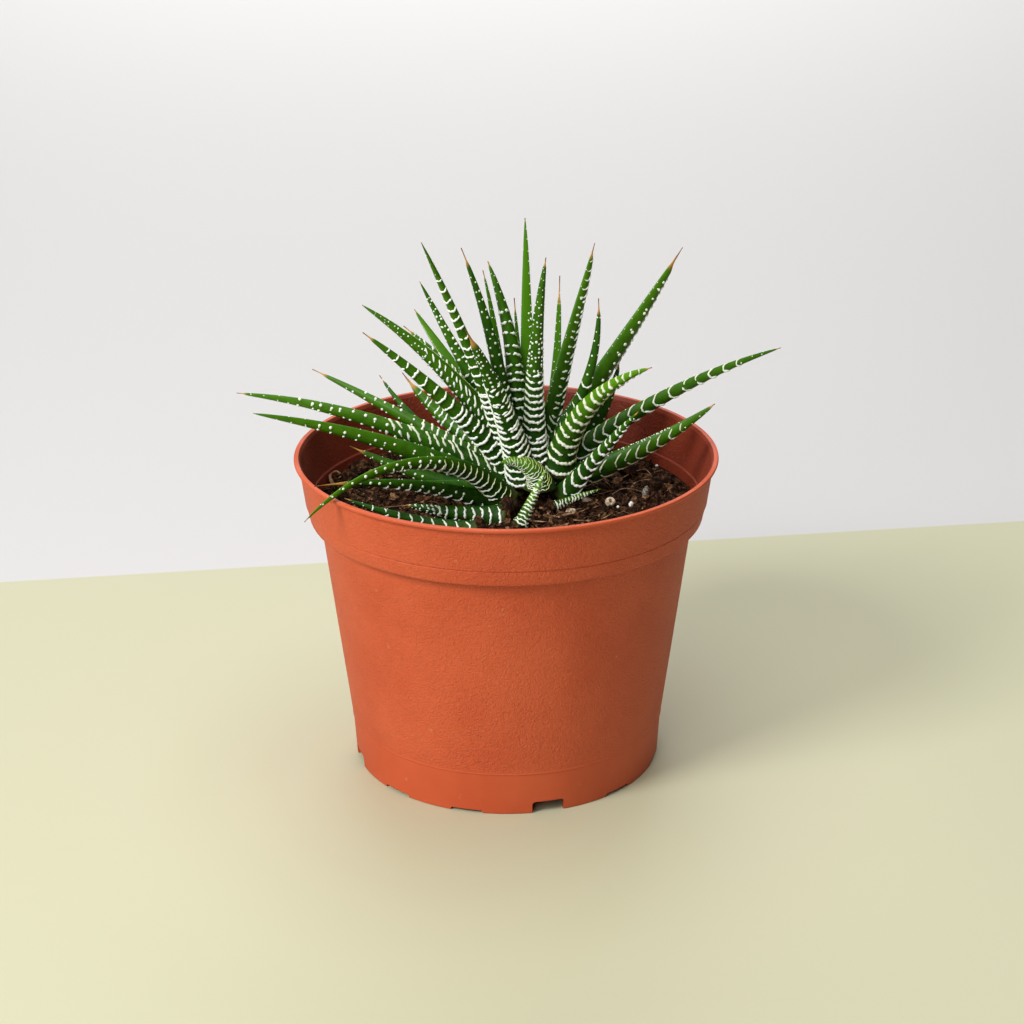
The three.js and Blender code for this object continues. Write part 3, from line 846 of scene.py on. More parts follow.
@dataclass(frozen=True)
class Blade:
    """The form of one leaf: a keeled, pointed blade on an arc, and the marks on its faces.

    A spot on it has a share of the length, 0 at the foot and 1 at the tip, and a turn round
    the section in degrees: 0 and 180 at the margins, 90 on the inner face, 270 on the keel.
    """

    row: LeafRow
    seed: int
    # The form of the blade
    taper: float = 0.65
    flare: float = 0.35
    flare_reach: float = 0.12
    outer_depth: float = 0.52
    inner_crown: float = 0.12
    tip_half: float = 0.16
    band_lift: float = 0.16
    band_spread: float = 0.42
    dry_pinch: float = 0.5
    sway: float = 1.2
    keel_growth: float = 0.45
    # How fine the meshes are
    spine_steps: int = 240
    ring_step: float = 0.62
    columns: int = 26
    ridge_step: float = 0.4
    hem_step: float = 0.5
    ridge_sides: int = 7
    dot_segments: int = 8
    dot_rings: int = 5
    # How the tubercles look and how far they stray: spots and gaps in millimetres or in
    # shares of their own size, chances from 0 to 1, turns in degrees
    dot_flatness: float = 0.6
    wart: float = 0.16
    wart_chance: float = 0.7
    wart_jitter: float = 0.6
    wart_turns: tuple[float, float] = (2.0, 178.0)
    pitch_jitter: float = 0.1
    hem_fade: float = 0.85
    dot_fade: float = 0.15
    split_chance: float = 0.22
    merge_chance: float = 0.4
    cut_jitter: float = 0.22
    bar_gap: float = 0.24
    dash_gap: float = 0.34
    part_jitter: float = 0.3
    shortest_ridge: float = 0.3
    ridge_span: tuple[float, float] = (0.002, 0.992)
    dot_span: tuple[float, float] = (0.01, 0.985)
    wave_low: float = 0.08
    wave_high: float = 0.2
    swell: float = 0.24
    swell_noise: float = 0.14
    knob: float = 0.25
    knob_places: tuple[float, float] = (0.12, 0.88)
    knob_width: float = 0.12
    thinnest: float = 0.6
    thickest: float = 1.5
    missing_chance: float = 0.15
    dot_jitter: float = 0.35
    twin_chance: float = 0.3
    twin_turn: float = 14.0

    def dried(self, share: np.ndarray) -> np.ndarray:
        """Gives how dry the leaf is, from 0, green, to 1 at the very tip."""
        start = 1 - self.row.dry / self.row.length
        return np.clip((np.asarray(share, float) - start) / max(1 - start, 1e-6), 0, 1)

    def width(self, share: np.ndarray) -> np.ndarray:
        """Gives the leaf's width in millimetres."""
        share = np.asarray(share, float)
        blade = np.maximum(1 - share, 0) ** self.taper
        sheath = self.flare * np.exp(-share / self.flare_reach) * (1 - share)
        pinch = self.dry_pinch * smooth_step(0.0, 0.45, self.dried(share))
        thin = 1 - pinch * min(1, self.row.dry / 3)
        return np.maximum(self.row.width * (blade * thin + sheath), 2 * self.tip_half)

    def spine(self, share: np.ndarray) -> tuple[np.ndarray, np.ndarray, np.ndarray, np.ndarray]:
        """Gives the leaf's middle line and its directions.

        Args:
            share: Places along the leaf.

        Returns:
            Points, and the directions along, to the left margin and to the inner face.
        """
        row = self.row
        steps = np.linspace(0, 1, self.spine_steps)
        heading = math.radians(row.heading)
        slope = np.radians(row.rise + row.bend * steps)
        along = np.stack([np.cos(slope) * math.cos(heading), np.cos(slope) * math.sin(heading),
                          np.sin(slope)], -1)
        side = np.tile([-math.sin(heading), math.cos(heading), 0.0], (len(steps), 1))
        inward = np.cross(along, side)
        sway = self.sway * math.sin(1.7 * self.seed) * np.sin(2 * math.pi * steps)
        turn = np.radians(sway + row.hook * steps)[:, None]
        along, side = (along * np.cos(turn) + side * np.sin(turn),
                       side * np.cos(turn) - along * np.sin(turn))
        roll = math.radians(row.roll)
        side, inward = (side * math.cos(roll) + inward * math.sin(roll),
                        inward * math.cos(roll) - side * math.sin(roll))
        stride = row.length / (self.spine_steps - 1)
        walked = np.cumsum((along[1:] + along[:-1]) / 2 * stride, axis=0)
        points = np.vstack([[0, 0, 0], walked]) + np.array(row.foot)
        share = np.asarray(share, float)
        return tuple(np.stack([np.interp(share, steps, part[:, k]) for k in range(3)], -1)
                     for part in (points, along, side, inward))

    def surface(self, share: np.ndarray, turn: np.ndarray) -> np.ndarray:
        """Gives points on the skin.

        Args:
            share: Places along the leaf.
            turn: Degrees round the section, of the same shape.

        Returns:
            Points in millimetres.
        """
        share, turn = np.broadcast_arrays(np.asarray(share, float), np.asarray(turn, float))
        middle, _, side, inward = self.spine(share.ravel())
        middle, side, inward = (part.reshape(*share.shape, 3) for part in (middle, side, inward))
        half = self.width(share) / 2
        sine = np.sin(np.radians(turn))
        keel = 1.0 + self.keel_growth * smooth_step(0.35, 0.9, share)
        depth = 2 * half * self.outer_depth + self.relief(share, turn)
        low = -depth * np.abs(sine) ** keel
        high = 2 * half * self.inner_crown * np.abs(sine) * (1 - 0.7 * np.exp(-share / 0.3))
        across = half * np.cos(np.radians(turn))
        up = np.where(sine < 0, low, high)
        return middle + side * across[..., None] + inward * up[..., None]

    def outward(self, share: np.ndarray, turn: np.ndarray) -> np.ndarray:
        """Gives the skin's outward direction at spots."""
        step_turn, step_share = 2.0, 0.004
        round_it = self.surface(share, turn + step_turn) - self.surface(share, turn - step_turn)
        up_it = self.surface(share + step_share, turn) - self.surface(share - step_share, turn)
        out = np.cross(round_it, up_it)
        return out / np.maximum(np.linalg.norm(out, axis=-1, keepdims=True), 1e-9)

    def rows(self) -> list[tuple[float, Zone]]:
        """Gives the share of the length at which each row of tubercles sits, and its zone."""
        rng = np.random.default_rng(self.seed)
        found = []
        for zone in self.row.zones:
            place = zone.start * self.row.length
            while place < zone.stop * self.row.length:
                found.append((place / self.row.length, zone))
                off = float(np.clip(rng.standard_normal(), -2, 2))
                place += zone.pitch * (1 + self.pitch_jitter * off)
        return found

    def lean(self, share: np.ndarray, turn: np.ndarray) -> np.ndarray:
        """Gives how far a band has run towards the tip at a turn, as a share of the length."""
        low, high = self.row.face
        off = np.clip((np.asarray(turn, float) - (low + high) / 2) / ((high - low) / 2), -1.3, 1.3)
        return self.row.curl * self.width(share) / 2 * off ** 2 / self.row.length

    def relief(self, share: np.ndarray, turn: np.ndarray) -> np.ndarray:
        """Gives how far the outer face is raised into bands, in millimetres."""
        places = np.array([place for place, zone in self.rows() if zone.mark is BAR] or [2.0])
        spread = self.band_spread / self.row.length
        nearest = np.min(np.abs((share - self.lean(share, turn))[..., None] - places), -1)
        lift = self.band_lift * min(1.0, self.row.width / 6)
        return lift * np.exp(-(nearest / spread) ** 2) * (1 - smooth_step(0.7, 0.95, share))

    def skin(self) -> tuple[np.ndarray, list[list[int]], dict[str, np.ndarray]]:
        """Makes the blade's own closed skin.

        Returns:
            Points, faces and the attributes that the finish reads.
        """
        count = max(28, math.ceil(self.row.length / self.ring_step))
        share = np.linspace(0, 1, count) ** 0.97
        turn = np.linspace(0, 360, self.columns, endpoint=False)
        grid = self.surface(share[:, None], turn[None, :])
        points = np.vstack([grid.reshape(-1, 3), self.spine(np.array([0.0, 1.0]))[0]])
        spread_share = np.append(np.repeat(share, self.columns), [0.0, 1.0])
        sine = np.append(np.tile(np.sin(np.radians(turn)), count), [0.0, 0.0])
        values = {
            "along": smooth_step(0.05, 0.75, spread_share),
            "inner": smooth_step(0.02, 0.25, sine) * (0.35 + 0.5 * self.row.tone),
            "dry": self.dried(spread_share) if self.row.dry > 0 else 0 * spread_share,
            "tone": self.row.tone * smooth_step(0.0, 0.8, spread_share),
            "sheathed": 1 - smooth_step(0.0, 0.05, spread_share),
        }
        return points, tube_faces(count, self.columns), values

    def marks(self) -> tuple[list[np.ndarray], np.ndarray]:
        """Lays out the tubercles.

        Returns:
            Ridges, each as rows of share, turn, girth and fade, and dots, one in each row.
        """
        row = self.row
        rng = np.random.default_rng(1000 + self.seed)
        ridges: list[np.ndarray] = []
        dots: list[Point] = []
        for turn, start, stop, girth in row.hems:
            share = np.arange(start, stop, self.hem_step / row.length)
            size = girth * (1 + 0.25 * rng.standard_normal(len(share)))
            size = np.clip(size, 0.5 * girth, 1.5 * girth) * np.linspace(1, 0.6, len(share))
            turns = turn + 3.0 * np.sin(share * 37.0)
            faded = np.full(len(share), self.hem_fade)
            ridges.append(np.stack([share, turns, size, faded], -1))
        for share, zone in self.rows():
            girth = zone.girth * (1 - 0.45 * float(smooth_step(0.7, 1.0, share)))
            if zone.mark is DOT:
                dots += self.dotted(rng, share, girth, zone)
            else:
                ridges += self.broken(rng, share, girth, zone)
            if rng.random() < self.wart_chance:
                turn = rng.choice(self.wart_turns)
                stray = self.wart_jitter / row.length * rng.random()
                dots.append((share + stray, turn, self.wart))
        share, turn, girth = np.array(dots).T
        fade = np.full(len(dots), self.dot_fade)
        return ridges, np.stack([np.clip(share, *self.dot_span), turn, girth, fade], -1)

    def broken(self, rng: np.random.Generator, share: float, girth: float,
               zone: Zone) -> list[np.ndarray]:
        """Makes the ridges of one row, broken into parts.

        Args:
            rng: The leaf's own random draw.
            share: Where the row sits.
            girth: Half a ridge's thickness.
            zone: The zone that the row belongs to.

        Returns:
            Ridges, each as rows of share, turn, girth and fade.
        """
        row = self.row
        first, last = row.face
        low = first + (last - first) * zone.low
        high = first + (last - first) * zone.high
        parts = zone.parts
        slants = zone.mark is DASH
        if parts == 1 and rng.random() < self.split_chance:
            parts = 2
        elif parts > 2 and rng.random() < self.merge_chance:
            parts -= 1
        shifts = rng.uniform(-self.cut_jitter, self.cut_jitter, parts - 1)
        cuts = (np.arange(1, parts) + shifts) / parts
        edges = np.concatenate([[0.0], cuts, [1.0]])
        gap = (self.dash_gap if slants else self.bar_gap) / parts
        shift = rng.normal(0, self.part_jitter, parts) * (parts > 1)
        wave, phase = rng.uniform(self.wave_low, self.wave_high), rng.uniform(0, 6.28, 3)
        half = float(self.width(share)) / 2
        found = []
        for index in range(parts):
            start = low + (high - low) * (edges[index] + gap / 2 * (index > 0))
            stop = low + (high - low) * (edges[index + 1] - gap / 2 * (index < parts - 1))
            across = math.radians(stop - start) * half
            if across < self.shortest_ridge:
                continue
            count = max(5, math.ceil(across / self.ridge_step))
            t = np.linspace(0, 1, count)
            turn = start + (stop - start) * t
            arc = np.radians(turn) * half
            rough = np.sin(2.1 * arc + phase[0]) + 0.7 * np.sin(4.7 * arc + phase[1])
            tilt = (t - 0.5) * across * rng.uniform(0.5, 1.0) * slants
            place = share + (shift[index] + wave * rough + tilt) / row.length
            place = place + self.lean(place, turn)
            swell = 1 + self.swell * np.sin(5.3 * arc + phase[2])
            swell = swell + self.swell_noise * rng.standard_normal(count)
            knob = (t - rng.choice(self.knob_places)) / self.knob_width
            swell += self.knob * np.exp(-knob ** 2)
            ends = np.clip(1 - np.abs(2 * t - 1) ** 6, 0.15, 1) ** 0.5
            margin = np.abs(np.cos(np.radians(turn))) ** 4
            away = smooth_step(0.35, 1.0, (turn - first) / (last - first)) * row.faded
            size = girth * np.clip(swell, self.thinnest, self.thickest) * ends
            size = size * (1 - 0.3 * margin) * (1 - 0.4 * away)
            fade = np.clip(0.45 * margin + 0.75 * away + 0.3 * row.faded, 0, 1)
            found.append(np.stack([np.clip(place, *self.ridge_span), turn, size, fade], -1))
        return found

    def dotted(self, rng: np.random.Generator, share: float, girth: float,
               zone: Zone) -> list[Point]:
        """Makes the dots of one row.

        Args:
            rng: The leaf's own random draw.
            share: Where the row sits.
            girth: Half a dot's width.
            zone: The zone that the row belongs to.

        Returns:
            Dots, each as a share, a turn and a girth.
        """
        found = []
        row = self.row
        first, last = row.face
        for index in range(zone.parts):
            if index and rng.random() < self.missing_chance:
                continue
            off = (index + 0.5 + rng.uniform(-0.2, 0.2)) / zone.parts
            turn = first + (last - first) * (zone.low + (zone.high - zone.low) * off)
            shift = rng.normal(0, self.dot_jitter) / row.length
            place = share + shift + float(self.lean(share, turn))
            found.append((place, turn, girth * rng.uniform(0.75, 1.15)))
            if girth > 0.4 and rng.random() < self.twin_chance:
                near = place + rng.normal(0, 0.2) / row.length
                found.append((near, turn - self.twin_turn, girth * rng.uniform(0.5, 0.75)))
        return found

    def build(self, tree: bpy.types.NodeTree, skin: bpy.types.Material,
              wax: bpy.types.Material) -> bpy.types.Object:
        """Builds the finished leaf as one plain mesh.

        Args:
            tree: The geometry tree that turns marks into tubercles.
            skin: The leaf's finish.
            wax: The tubercles' finish.

        Returns:
            The leaf.
        """
        points, faces, values = self.skin()
        ridges, dots = self.marks()
        sets, facing, edges = [points], [np.zeros((len(points), 3))], []
        drawn = [np.zeros((len(points), 3))]
        total = len(points)
        for kind, rows in [(RIDGE, ridge) for ridge in ridges] + [(BEAD, dots)]:
            sets.append(self.surface(rows[:, 0], rows[:, 1]))
            facing.append(self.outward(rows[:, 0], rows[:, 1]))
            kinds = np.full(len(rows), kind)
            drawn.append(np.stack([kinds, rows[:, 2] * MM, rows[:, 3]], -1))
            if kind == RIDGE:
                edges += [(total + k, total + k + 1) for k in range(len(rows) - 1)]
            total += len(rows)
        mesh = mesh_from(self.row.name + "_skin", np.vstack(sets), faces, edges)
        for name, value in values.items():
            set_attribute(mesh, name, np.append(value, np.zeros(total - len(points))))
        for name, value in zip(("kind", "girth", "fade"), np.vstack(drawn).T):
            set_attribute(mesh, name, value)
        set_attribute(mesh, "facing", np.vstack(facing))
        leaf = link_mesh(self.row.name + "_fine", mesh)
        run_tree(leaf, tree, {"Ridge Sides": self.ridge_sides, "Dot Segments": self.dot_segments,
                              "Dot Rings": self.dot_rings, "Dot Flatness": self.dot_flatness,
                              "Skin": skin, "Wax": wax})
        for name in ("kind", "girth", "facing"):
            leaf.data.attributes.remove(leaf.data.attributes[name])
        return settle(leaf, "leaf", self.row.name)


@dataclass
class Clump:
    """All the leaves of the plant, and the tree that raises their tubercles."""

    rows: Sequence[LeafRow] = LEAVES

    def tubercle_tree(self) -> bpy.types.NodeTree:
        """Builds the tree that sweeps ridges along edges and sets beads on loose points.

        Returns:
            The tree. It reads kind, 0 for skin, 1 for ridges and 2 for dots, girth, facing.
        """
        make = ShapeTree("leaf_tubercles", {
            "Ridge Sides": "Int", "Dot Segments": "Int", "Dot Rings": "Int",
            "Dot Flatness": "Float", "Skin": "Material", "Wax": "Material"})
        kind, girth = make.carried("kind"), make.carried("girth")
        marks, skin = make.part(make.given(), kind, 0.5)
        dots, lines = make.part(marks, kind, 1.5)
        ridges = make.sweep(lines, make.given("Ridge Sides"), girth)
        ball = make.add("GeometryNodeMeshUVSphere", "Mesh", {
            "Segments": make.given("Dot Segments"), "Rings": make.given("Dot Rings"),
            "Radius": 1.0})
        stand = make.add("FunctionNodeAlignRotationToVector", "Rotation", {
            "Vector": make.carried("facing", "FLOAT_VECTOR")}, axis="Z")
        low = make.maths("MULTIPLY", girth, make.given("Dot Flatness"))
        size = make.add("ShaderNodeCombineXYZ", "Vector", {"X": girth, "Y": girth, "Z": low})
        beads = make.add("GeometryNodeInstanceOnPoints", "Instances", {
            "Points": dots, "Instance": ball, "Rotation": stand, "Scale": size})
        wax = make.join(ridges, make.plain("RealizeInstances", beads))
        white = make.coat(make.plain("SetShadeSmooth", wax), make.given("Wax"))
        return make.done(make.join(white, make.coat(skin, make.given("Skin"))))

    def build(self) -> list[bpy.types.Object]:
        """Builds every leaf."""
        tree = self.tubercle_tree()
        skin, wax = GreenBlade().build(), WaxTubercle().build()
        return [Blade(row, seed).build(tree, skin, wax) for seed, row in enumerate(self.rows, 1)]


# Pot

def fillet(corners: Sequence[Point], steps: int = 5) -> list[tuple[float, float]]:
    """Rounds the corners of an open outline.

    Args:
        corners: Radius from the axis, height and rounding radius of each corner.
        steps: How many stretches each rounded corner gets.

    Returns:
        The outline's points.
    """
    points = [Vector((x, z)) for x, z, _ in corners]
    outline = [tuple(points[0])]
    for index in range(1, len(points) - 1):
        before = points[index - 1] - points[index]
        after = points[index + 1] - points[index]
        turn = before.angle(after)
        reach = min(corners[index][2] / math.tan(turn / 2), before.length / 2, after.length / 2)
        if reach < 1e-6:
            outline.append(tuple(points[index]))
            continue
        start = points[index] + before.normalized() * reach
        stop = points[index] + after.normalized() * reach
        for k in range(steps + 1):
            t = k / steps
            bend = start.lerp(points[index], t).lerp(points[index].lerp(stop, t), t)
            outline.append(tuple(bend))
    outline.append(tuple(points[-1]))
    return outline


def turned(name: str, outline: Sequence[tuple[float, float]], segments: int,
           centre: tuple[float, float] = (0.0, 0.0)) -> bpy.types.Mesh:
    """Turns an outline from axis to axis into a closed body.

    Args:
        name: The mesh's name.
        outline: Radius and height from the lowest pole, up the outside, to the other pole.
        segments: Steps round the axis.
        centre: Where the axis stands.

    Returns:
        The mesh.
    """
    angle = np.linspace(0, 2 * math.pi, segments, endpoint=False)
    inner = outline[1:-1]
    rings = [np.stack([centre[0] + r * np.cos(angle), centre[1] + r * np.sin(angle),
                       np.full(segments, z)], -1) for r, z in inner]
    points = np.vstack([*rings, [[*centre, outline[0][1]]], [[*centre, outline[-1][1]]]])
    return mesh_from(name, points, tube_faces(len(inner), segments))


def body_radius(z: float) -> float:
    """Gives the outside radius of the pot's tapered wall at a height."""
    share = (z - FOOT_LINE_Z) / (COLLAR_BOTTOM - FOOT_LINE_Z)
    return FOOT_LINE_RADIUS + (BODY_TOP_RADIUS - FOOT_LINE_RADIUS) * share


@dataclass
class Pot:
    """The nursery pot: foot ring with notches, tapered body, stepped collar, rolled lip."""

    lip_bottom: float = 91.0
    collar_top_radius: float = 58.7
    crease_z: float = 78.8
    crease_radius: float = 57.1
    foot_radius: float = 44.4
    floor_bottom: float = 4.6
    notch_count: int = 12
    notch_width: float = 9.2
    notch_deep: float = 3.6
    notch_shallow: float = 1.0
    notch_start: float = -75.0
    notch_corner: float = 0.9
    drain_count: int = 8
    drain_radius: float = 4.0
    drain_circle: float = 33.0
    segments: int = 256
    sharp_angle: float = 38.0
    inward_normal: float = -0.3

    def inner_at(self, z: float) -> float:
        """Gives the inside radius of the tapered wall at a height."""
        return body_radius(z) - WALL

    def outline(self) -> list[tuple[float, float]]:
        """Gives the pot's section, outside first and then down the inside."""
        crease, rim = self.crease_radius, RIM_RADIUS
        return fillet([
            (0, self.floor_bottom, 0),
            (self.foot_radius - 1.8, self.floor_bottom, 0.8),
            (self.foot_radius - 1.5, 0, 0.4),
            (self.foot_radius, 0, 0.5),
            (FOOT_LINE_RADIUS - 0.1, FOOT_LINE_Z - 0.4, 0.4),
            (FOOT_LINE_RADIUS + 0.14, FOOT_LINE_Z - 0.1, 0.12),
            (FOOT_LINE_RADIUS + 0.08, FOOT_LINE_Z + 0.3, 0.2),
            (BODY_TOP_RADIUS, COLLAR_BOTTOM, 0.9),
            (STEP_RADIUS - 0.3, COLLAR_BOTTOM + 0.15, 1.0),
            (crease - 0.35, self.crease_z - 0.3, 0.2),
            (crease - 0.45, self.crease_z, 0.08),
            (crease, self.crease_z + 0.35, 0.35),
            (self.collar_top_radius, self.lip_bottom, 0.25),
            (rim - 0.2, self.lip_bottom, 0.25),
            (rim, self.lip_bottom + 0.5, 0.4),
            (rim - 0.1, RIM_TOP, 0.45),
            (rim - 1.4, RIM_TOP, 0.45),
            (rim - 2.0, self.lip_bottom, 0.6),
            (crease - WALL, self.crease_z + 0.3, 0.3),
            (crease - WALL - 0.5, self.crease_z, 0.2),
            (STEP_RADIUS - WALL, LEDGE_Z, 0.5),
            (self.inner_at(LEDGE_Z), LEDGE_Z, 0.4),
            (self.inner_at(FLOOR_TOP), FLOOR_TOP, 1.6),
            (0, FLOOR_TOP, 0),
        ])

    def notch(self, height: float, angle: float) -> bpy.types.Mesh:
        """Makes the block that cuts one notch.

        Args:
            height: The notch's height.
            angle: Its place round the foot, in degrees.

        Returns:
            A closed block, longer than the foot ring is thick.
        """
        half, corner = self.notch_width / 2, min(self.notch_corner, height / 2)
        arc = [math.radians(a) for a in (0, 30, 60, 90)]
        right = [(half - corner + corner * math.cos(a), height - corner + corner * math.sin(a))
                 for a in arc]
        face = [(-half, -1.0), (half, -1.0), *right, *[(-x, z) for x, z in reversed(right)]]
        near, far = self.foot_radius - 4, self.foot_radius + 4
        turn = Matrix.Rotation(math.radians(angle), 3, "Z")
        points = [turn @ Vector((reach, x, z)) for reach in (near, far) for x, z in face]
        count = len(face)
        faces = [list(range(count))[::-1], list(range(count, 2 * count))]
        for k in range(count):
            after = (k + 1) % count
            faces.append([k, after, after + count, k + count])
        return mesh_from("notch", np.array(points), faces, smooth=False)

    def cutters(self) -> list[bpy.types.Mesh]:
        """Makes the blocks for the notches and the drain holes."""
        step = 360 / self.notch_count
        notches = [self.notch(self.notch_deep if i % 3 == 0 else self.notch_shallow,
                              self.notch_start + step * i) for i in range(self.notch_count)]
        drains = []
        for i in range(self.drain_count):
            angle = 2 * math.pi * i / self.drain_count
            centre = (self.drain_circle * math.cos(angle), self.drain_circle * math.sin(angle))
            drains.append(turned("drain", [
                (0, 1), (self.drain_radius, 1), (self.drain_radius, FLOOR_TOP + 3),
                (0, FLOOR_TOP + 3)], 32, centre))
        return notches + drains

    def build(self) -> bpy.types.Object:
        """Builds the pot."""
        pot = link_mesh("pot_fine", turned("pot_fine", self.outline(), self.segments))
        union = bmesh.new()
        for mesh in self.cutters():
            union.from_mesh(mesh)
        joined = bpy.data.meshes.new("pot_cutters")
        union.to_mesh(joined)
        union.free()
        tool = link_mesh("pot_cutters", joined)
        cut = pot.modifiers.new("cut", "BOOLEAN")
        cut.object, cut.operation, cut.solver = tool, "DIFFERENCE", "EXACT"
        made = made_mesh(pot)
        pot.modifiers.remove(cut)
        pot.data = made
        bpy.data.objects.remove(tool)
        made.materials.clear()
        made.materials.append(MouldedPolypropylene().build())
        made.polygons.foreach_set("use_smooth", [True] * len(made.polygons))
        made.set_sharp_from_angle(angle=math.radians(self.sharp_angle))
        # Marks the inside, which the finish darkens with a peat film and painted shade
        set_attribute(made, "inside", np.array([
            float(corner.normal.x * corner.co.x + corner.normal.y * corner.co.y
                  < self.inward_normal * math.hypot(corner.co.x, corner.co.y))
            for corner in made.vertices]))
        return settle(pot, "pot", "pot")


# Soil, stems and litter

@dataclass
class Soil:
    """The peat in the pot: an uneven, creased bed under crumbs, clods, bark and perlite."""

    clearance: float = 0.3
    bump: float = 0.9
    rings: int = 104
    segments: int = 330
    middle_z: float = 40.0
    calm_edge: float = 4.0
    lump_mm: float = 5.5
    lump_height: float = 1.2
    crease_mm: float = 2.1
    crease_depth: float = 2.2
    ridge_height: float = 0.55
    grit_height: float = 0.35
    tilt: float = 0.9
    shapes: tuple[float, ...] = (0.0, 5.0, 11.0)
    shape_noise: float = 1.3
    shape_gain: float = 2.3
    shape_base: float = -0.6

    def wall(self, z: float) -> float:
        """Gives the bed's radius at a height."""
        return body_radius(z) - WALL - self.clearance

    def edge(self) -> float:
        """Gives the radius of the bed's top."""
        return STEP_RADIUS - WALL - self.clearance

    def height(self, x: float, y: float) -> float:
        """Gives the height of the bed's top at a spot."""
        edge = self.edge()
        calm = float(smooth_step(edge, edge - self.calm_edge, math.hypot(x, y)))
        # The same wave as in the CAD
        wave = math.sin(0.31 * x + 1.3) * math.cos(0.27 * y - 0.4)
        wave += 0.6 * math.sin(0.52 * x - 0.43 * y)
        lump = noise.fractal(Vector((x, y, 3.0)) / self.lump_mm, 1.0, 2.0, 3)
        crease = noise.noise(Vector((x, y, 9.0)) / self.crease_mm)
        fine = noise.noise(Vector((x, y, 5.0)) / (self.crease_mm * 0.45))
        rough = self.ridge_height - self.crease_depth * abs(crease) * (1 - abs(fine))
        rough += self.grit_height * fine
        relief = (self.lump_height * lump + rough) * (0.3 + 0.7 * calm)
        return SOIL_LEVEL + self.bump * wave * calm + relief

    def bed(self) -> bpy.types.Mesh:
        """Makes the closed bed of peat."""
        edge = self.edge()
        angle = np.linspace(0, 2 * math.pi, self.segments, endpoint=False)
        low = FLOOR_TOP + self.clearance
        rows = [(self.wall(low) - 1, low, False), (self.wall(low), low + 1, False),
                (self.wall(self.middle_z), self.middle_z, False),
                (self.wall(LEDGE_Z - 2), LEDGE_Z - 2, False),
                (self.wall(LEDGE_Z), LEDGE_Z + self.clearance, False),
                (edge, LEDGE_Z + self.clearance, False)]
        rows += [(edge * (1 - k / self.rings), 0.0, True) for k in range(self.rings)]
        points = []
        for radius, z, top in rows:
            for a in angle:
                x, y = radius * math.cos(a), radius * math.sin(a)
                points.append((x, y, self.height(x, y) if top else z))
        points += [(0, 0, low), (0, 0, self.height(0, 0))]
        mesh = mesh_from("soil_fine", np.array(points), tube_faces(len(rows), self.segments))
        top = np.array([1.0 if row[2] and row[0] < edge - 1.2 else 0.0
                        for row in rows for _ in angle] + [0.0, 1.0])
        set_attribute(mesh, "open", top)
        return mesh

    def scatter_tree(self) -> bpy.types.NodeTree:
        """Builds the tree that strews lumps of three shapes over the open soil."""
        make = ShapeTree("soil_scatter", {
            "Density": "Float", "Seed": "Int", "Roundness": "Int", "Smallest": "Float",
            "Largest": "Float", "Length": "Float", "Flatness": "Float", "Finish": "Material"})
        seed = make.given("Seed")
        spots = make.add("GeometryNodeDistributePointsOnFaces", "Points", {
            "Mesh": make.given(), "Selection": make.carried("open"),
            "Density": make.given("Density"), "Seed": seed}, distribute_method="RANDOM")
        ball = make.add("GeometryNodeMeshIcoSphere", "Mesh", {
            "Radius": 1.0, "Subdivisions": make.given("Roundness")})
        spot = make.add("GeometryNodeInputPosition", "Position")
        lumps = []
        for offset in self.shapes:
            moved = make.add("ShaderNodeVectorMath", "Vector", {
                "Vector": spot, "Vector_001": (offset, offset, offset)}, operation="ADD")
            rough = make.add("ShaderNodeTexNoise", "Fac", {
                "Vector": moved, "Scale": self.shape_noise, "Detail": 1.0})
            swell = make.maths("MULTIPLY_ADD", rough, self.shape_gain, self.shape_base)
            shaped = make.add("ShaderNodeVectorMath", "Vector", {
                "Vector": spot, "Scale": swell}, operation="SCALE")
            lump = make.add("GeometryNodeSetPosition", "Geometry", {
                "Geometry": ball, "Position": shaped})
            lumps.append(make.add("GeometryNodeGeometryToInstance", "Instances", {
                "Geometry": lump}))
        size = make.add("FunctionNodeRandomValue", "Value_001", {
            "Min_001": make.given("Smallest"), "Max_001": make.given("Largest"),
            "Seed": seed}, data_type="FLOAT")
        turn = make.add("FunctionNodeRandomValue", "Value", {
            "Max": (self.tilt, self.tilt, 6.28), "Seed": seed}, data_type="FLOAT_VECTOR")
        form = make.add("ShaderNodeCombineXYZ", "Vector", {
            "X": make.given("Length"), "Y": 1.0, "Z": make.given("Flatness")})
        scaled = make.add("ShaderNodeVectorMath", "Vector", {"Vector": form, "Scale": size},
                          operation="SCALE")
        strewn = make.add("GeometryNodeInstanceOnPoints", "Instances", {
            "Points": spots, "Instance": make.join(*lumps), "Pick Instance": True,
            "Rotation": turn, "Scale": scaled})
        return make.done(make.coat(make.plain("RealizeInstances", strewn),
                                   make.given("Finish")))

    def strew(self, tree: bpy.types.NodeTree, kind: Litter) -> None:
        """Strews one kind of litter over the soil."""
        litter = link_mesh(kind.name, self.bed())
        run_tree(litter, tree, {
            "Density": kind.density * 1e4, "Seed": kind.seed, "Roundness": kind.roundness,
            "Smallest": kind.smallest * MM, "Largest": kind.largest * MM,
            "Length": kind.length, "Flatness": kind.flatness, "Finish": kind.finish.build()})
        settle(litter, "soil")

    def build(self) -> None:
        """Builds the bed and its litter."""
        bed = link_mesh("soil_fine", self.bed())
        bed.data.materials.append(PEAT.build())
        settle(bed, "soil", "soil")
        tree = self.scatter_tree()
        for kind in LITTER:
            self.strew(tree, kind)


@dataclass(frozen=True)
class Strand:
    """One root or dry fibre: spots as x, y and the height over the peat, and half its girth."""

    spots: tuple[Point, ...]
    girth: float
    thinned: float = 0.4


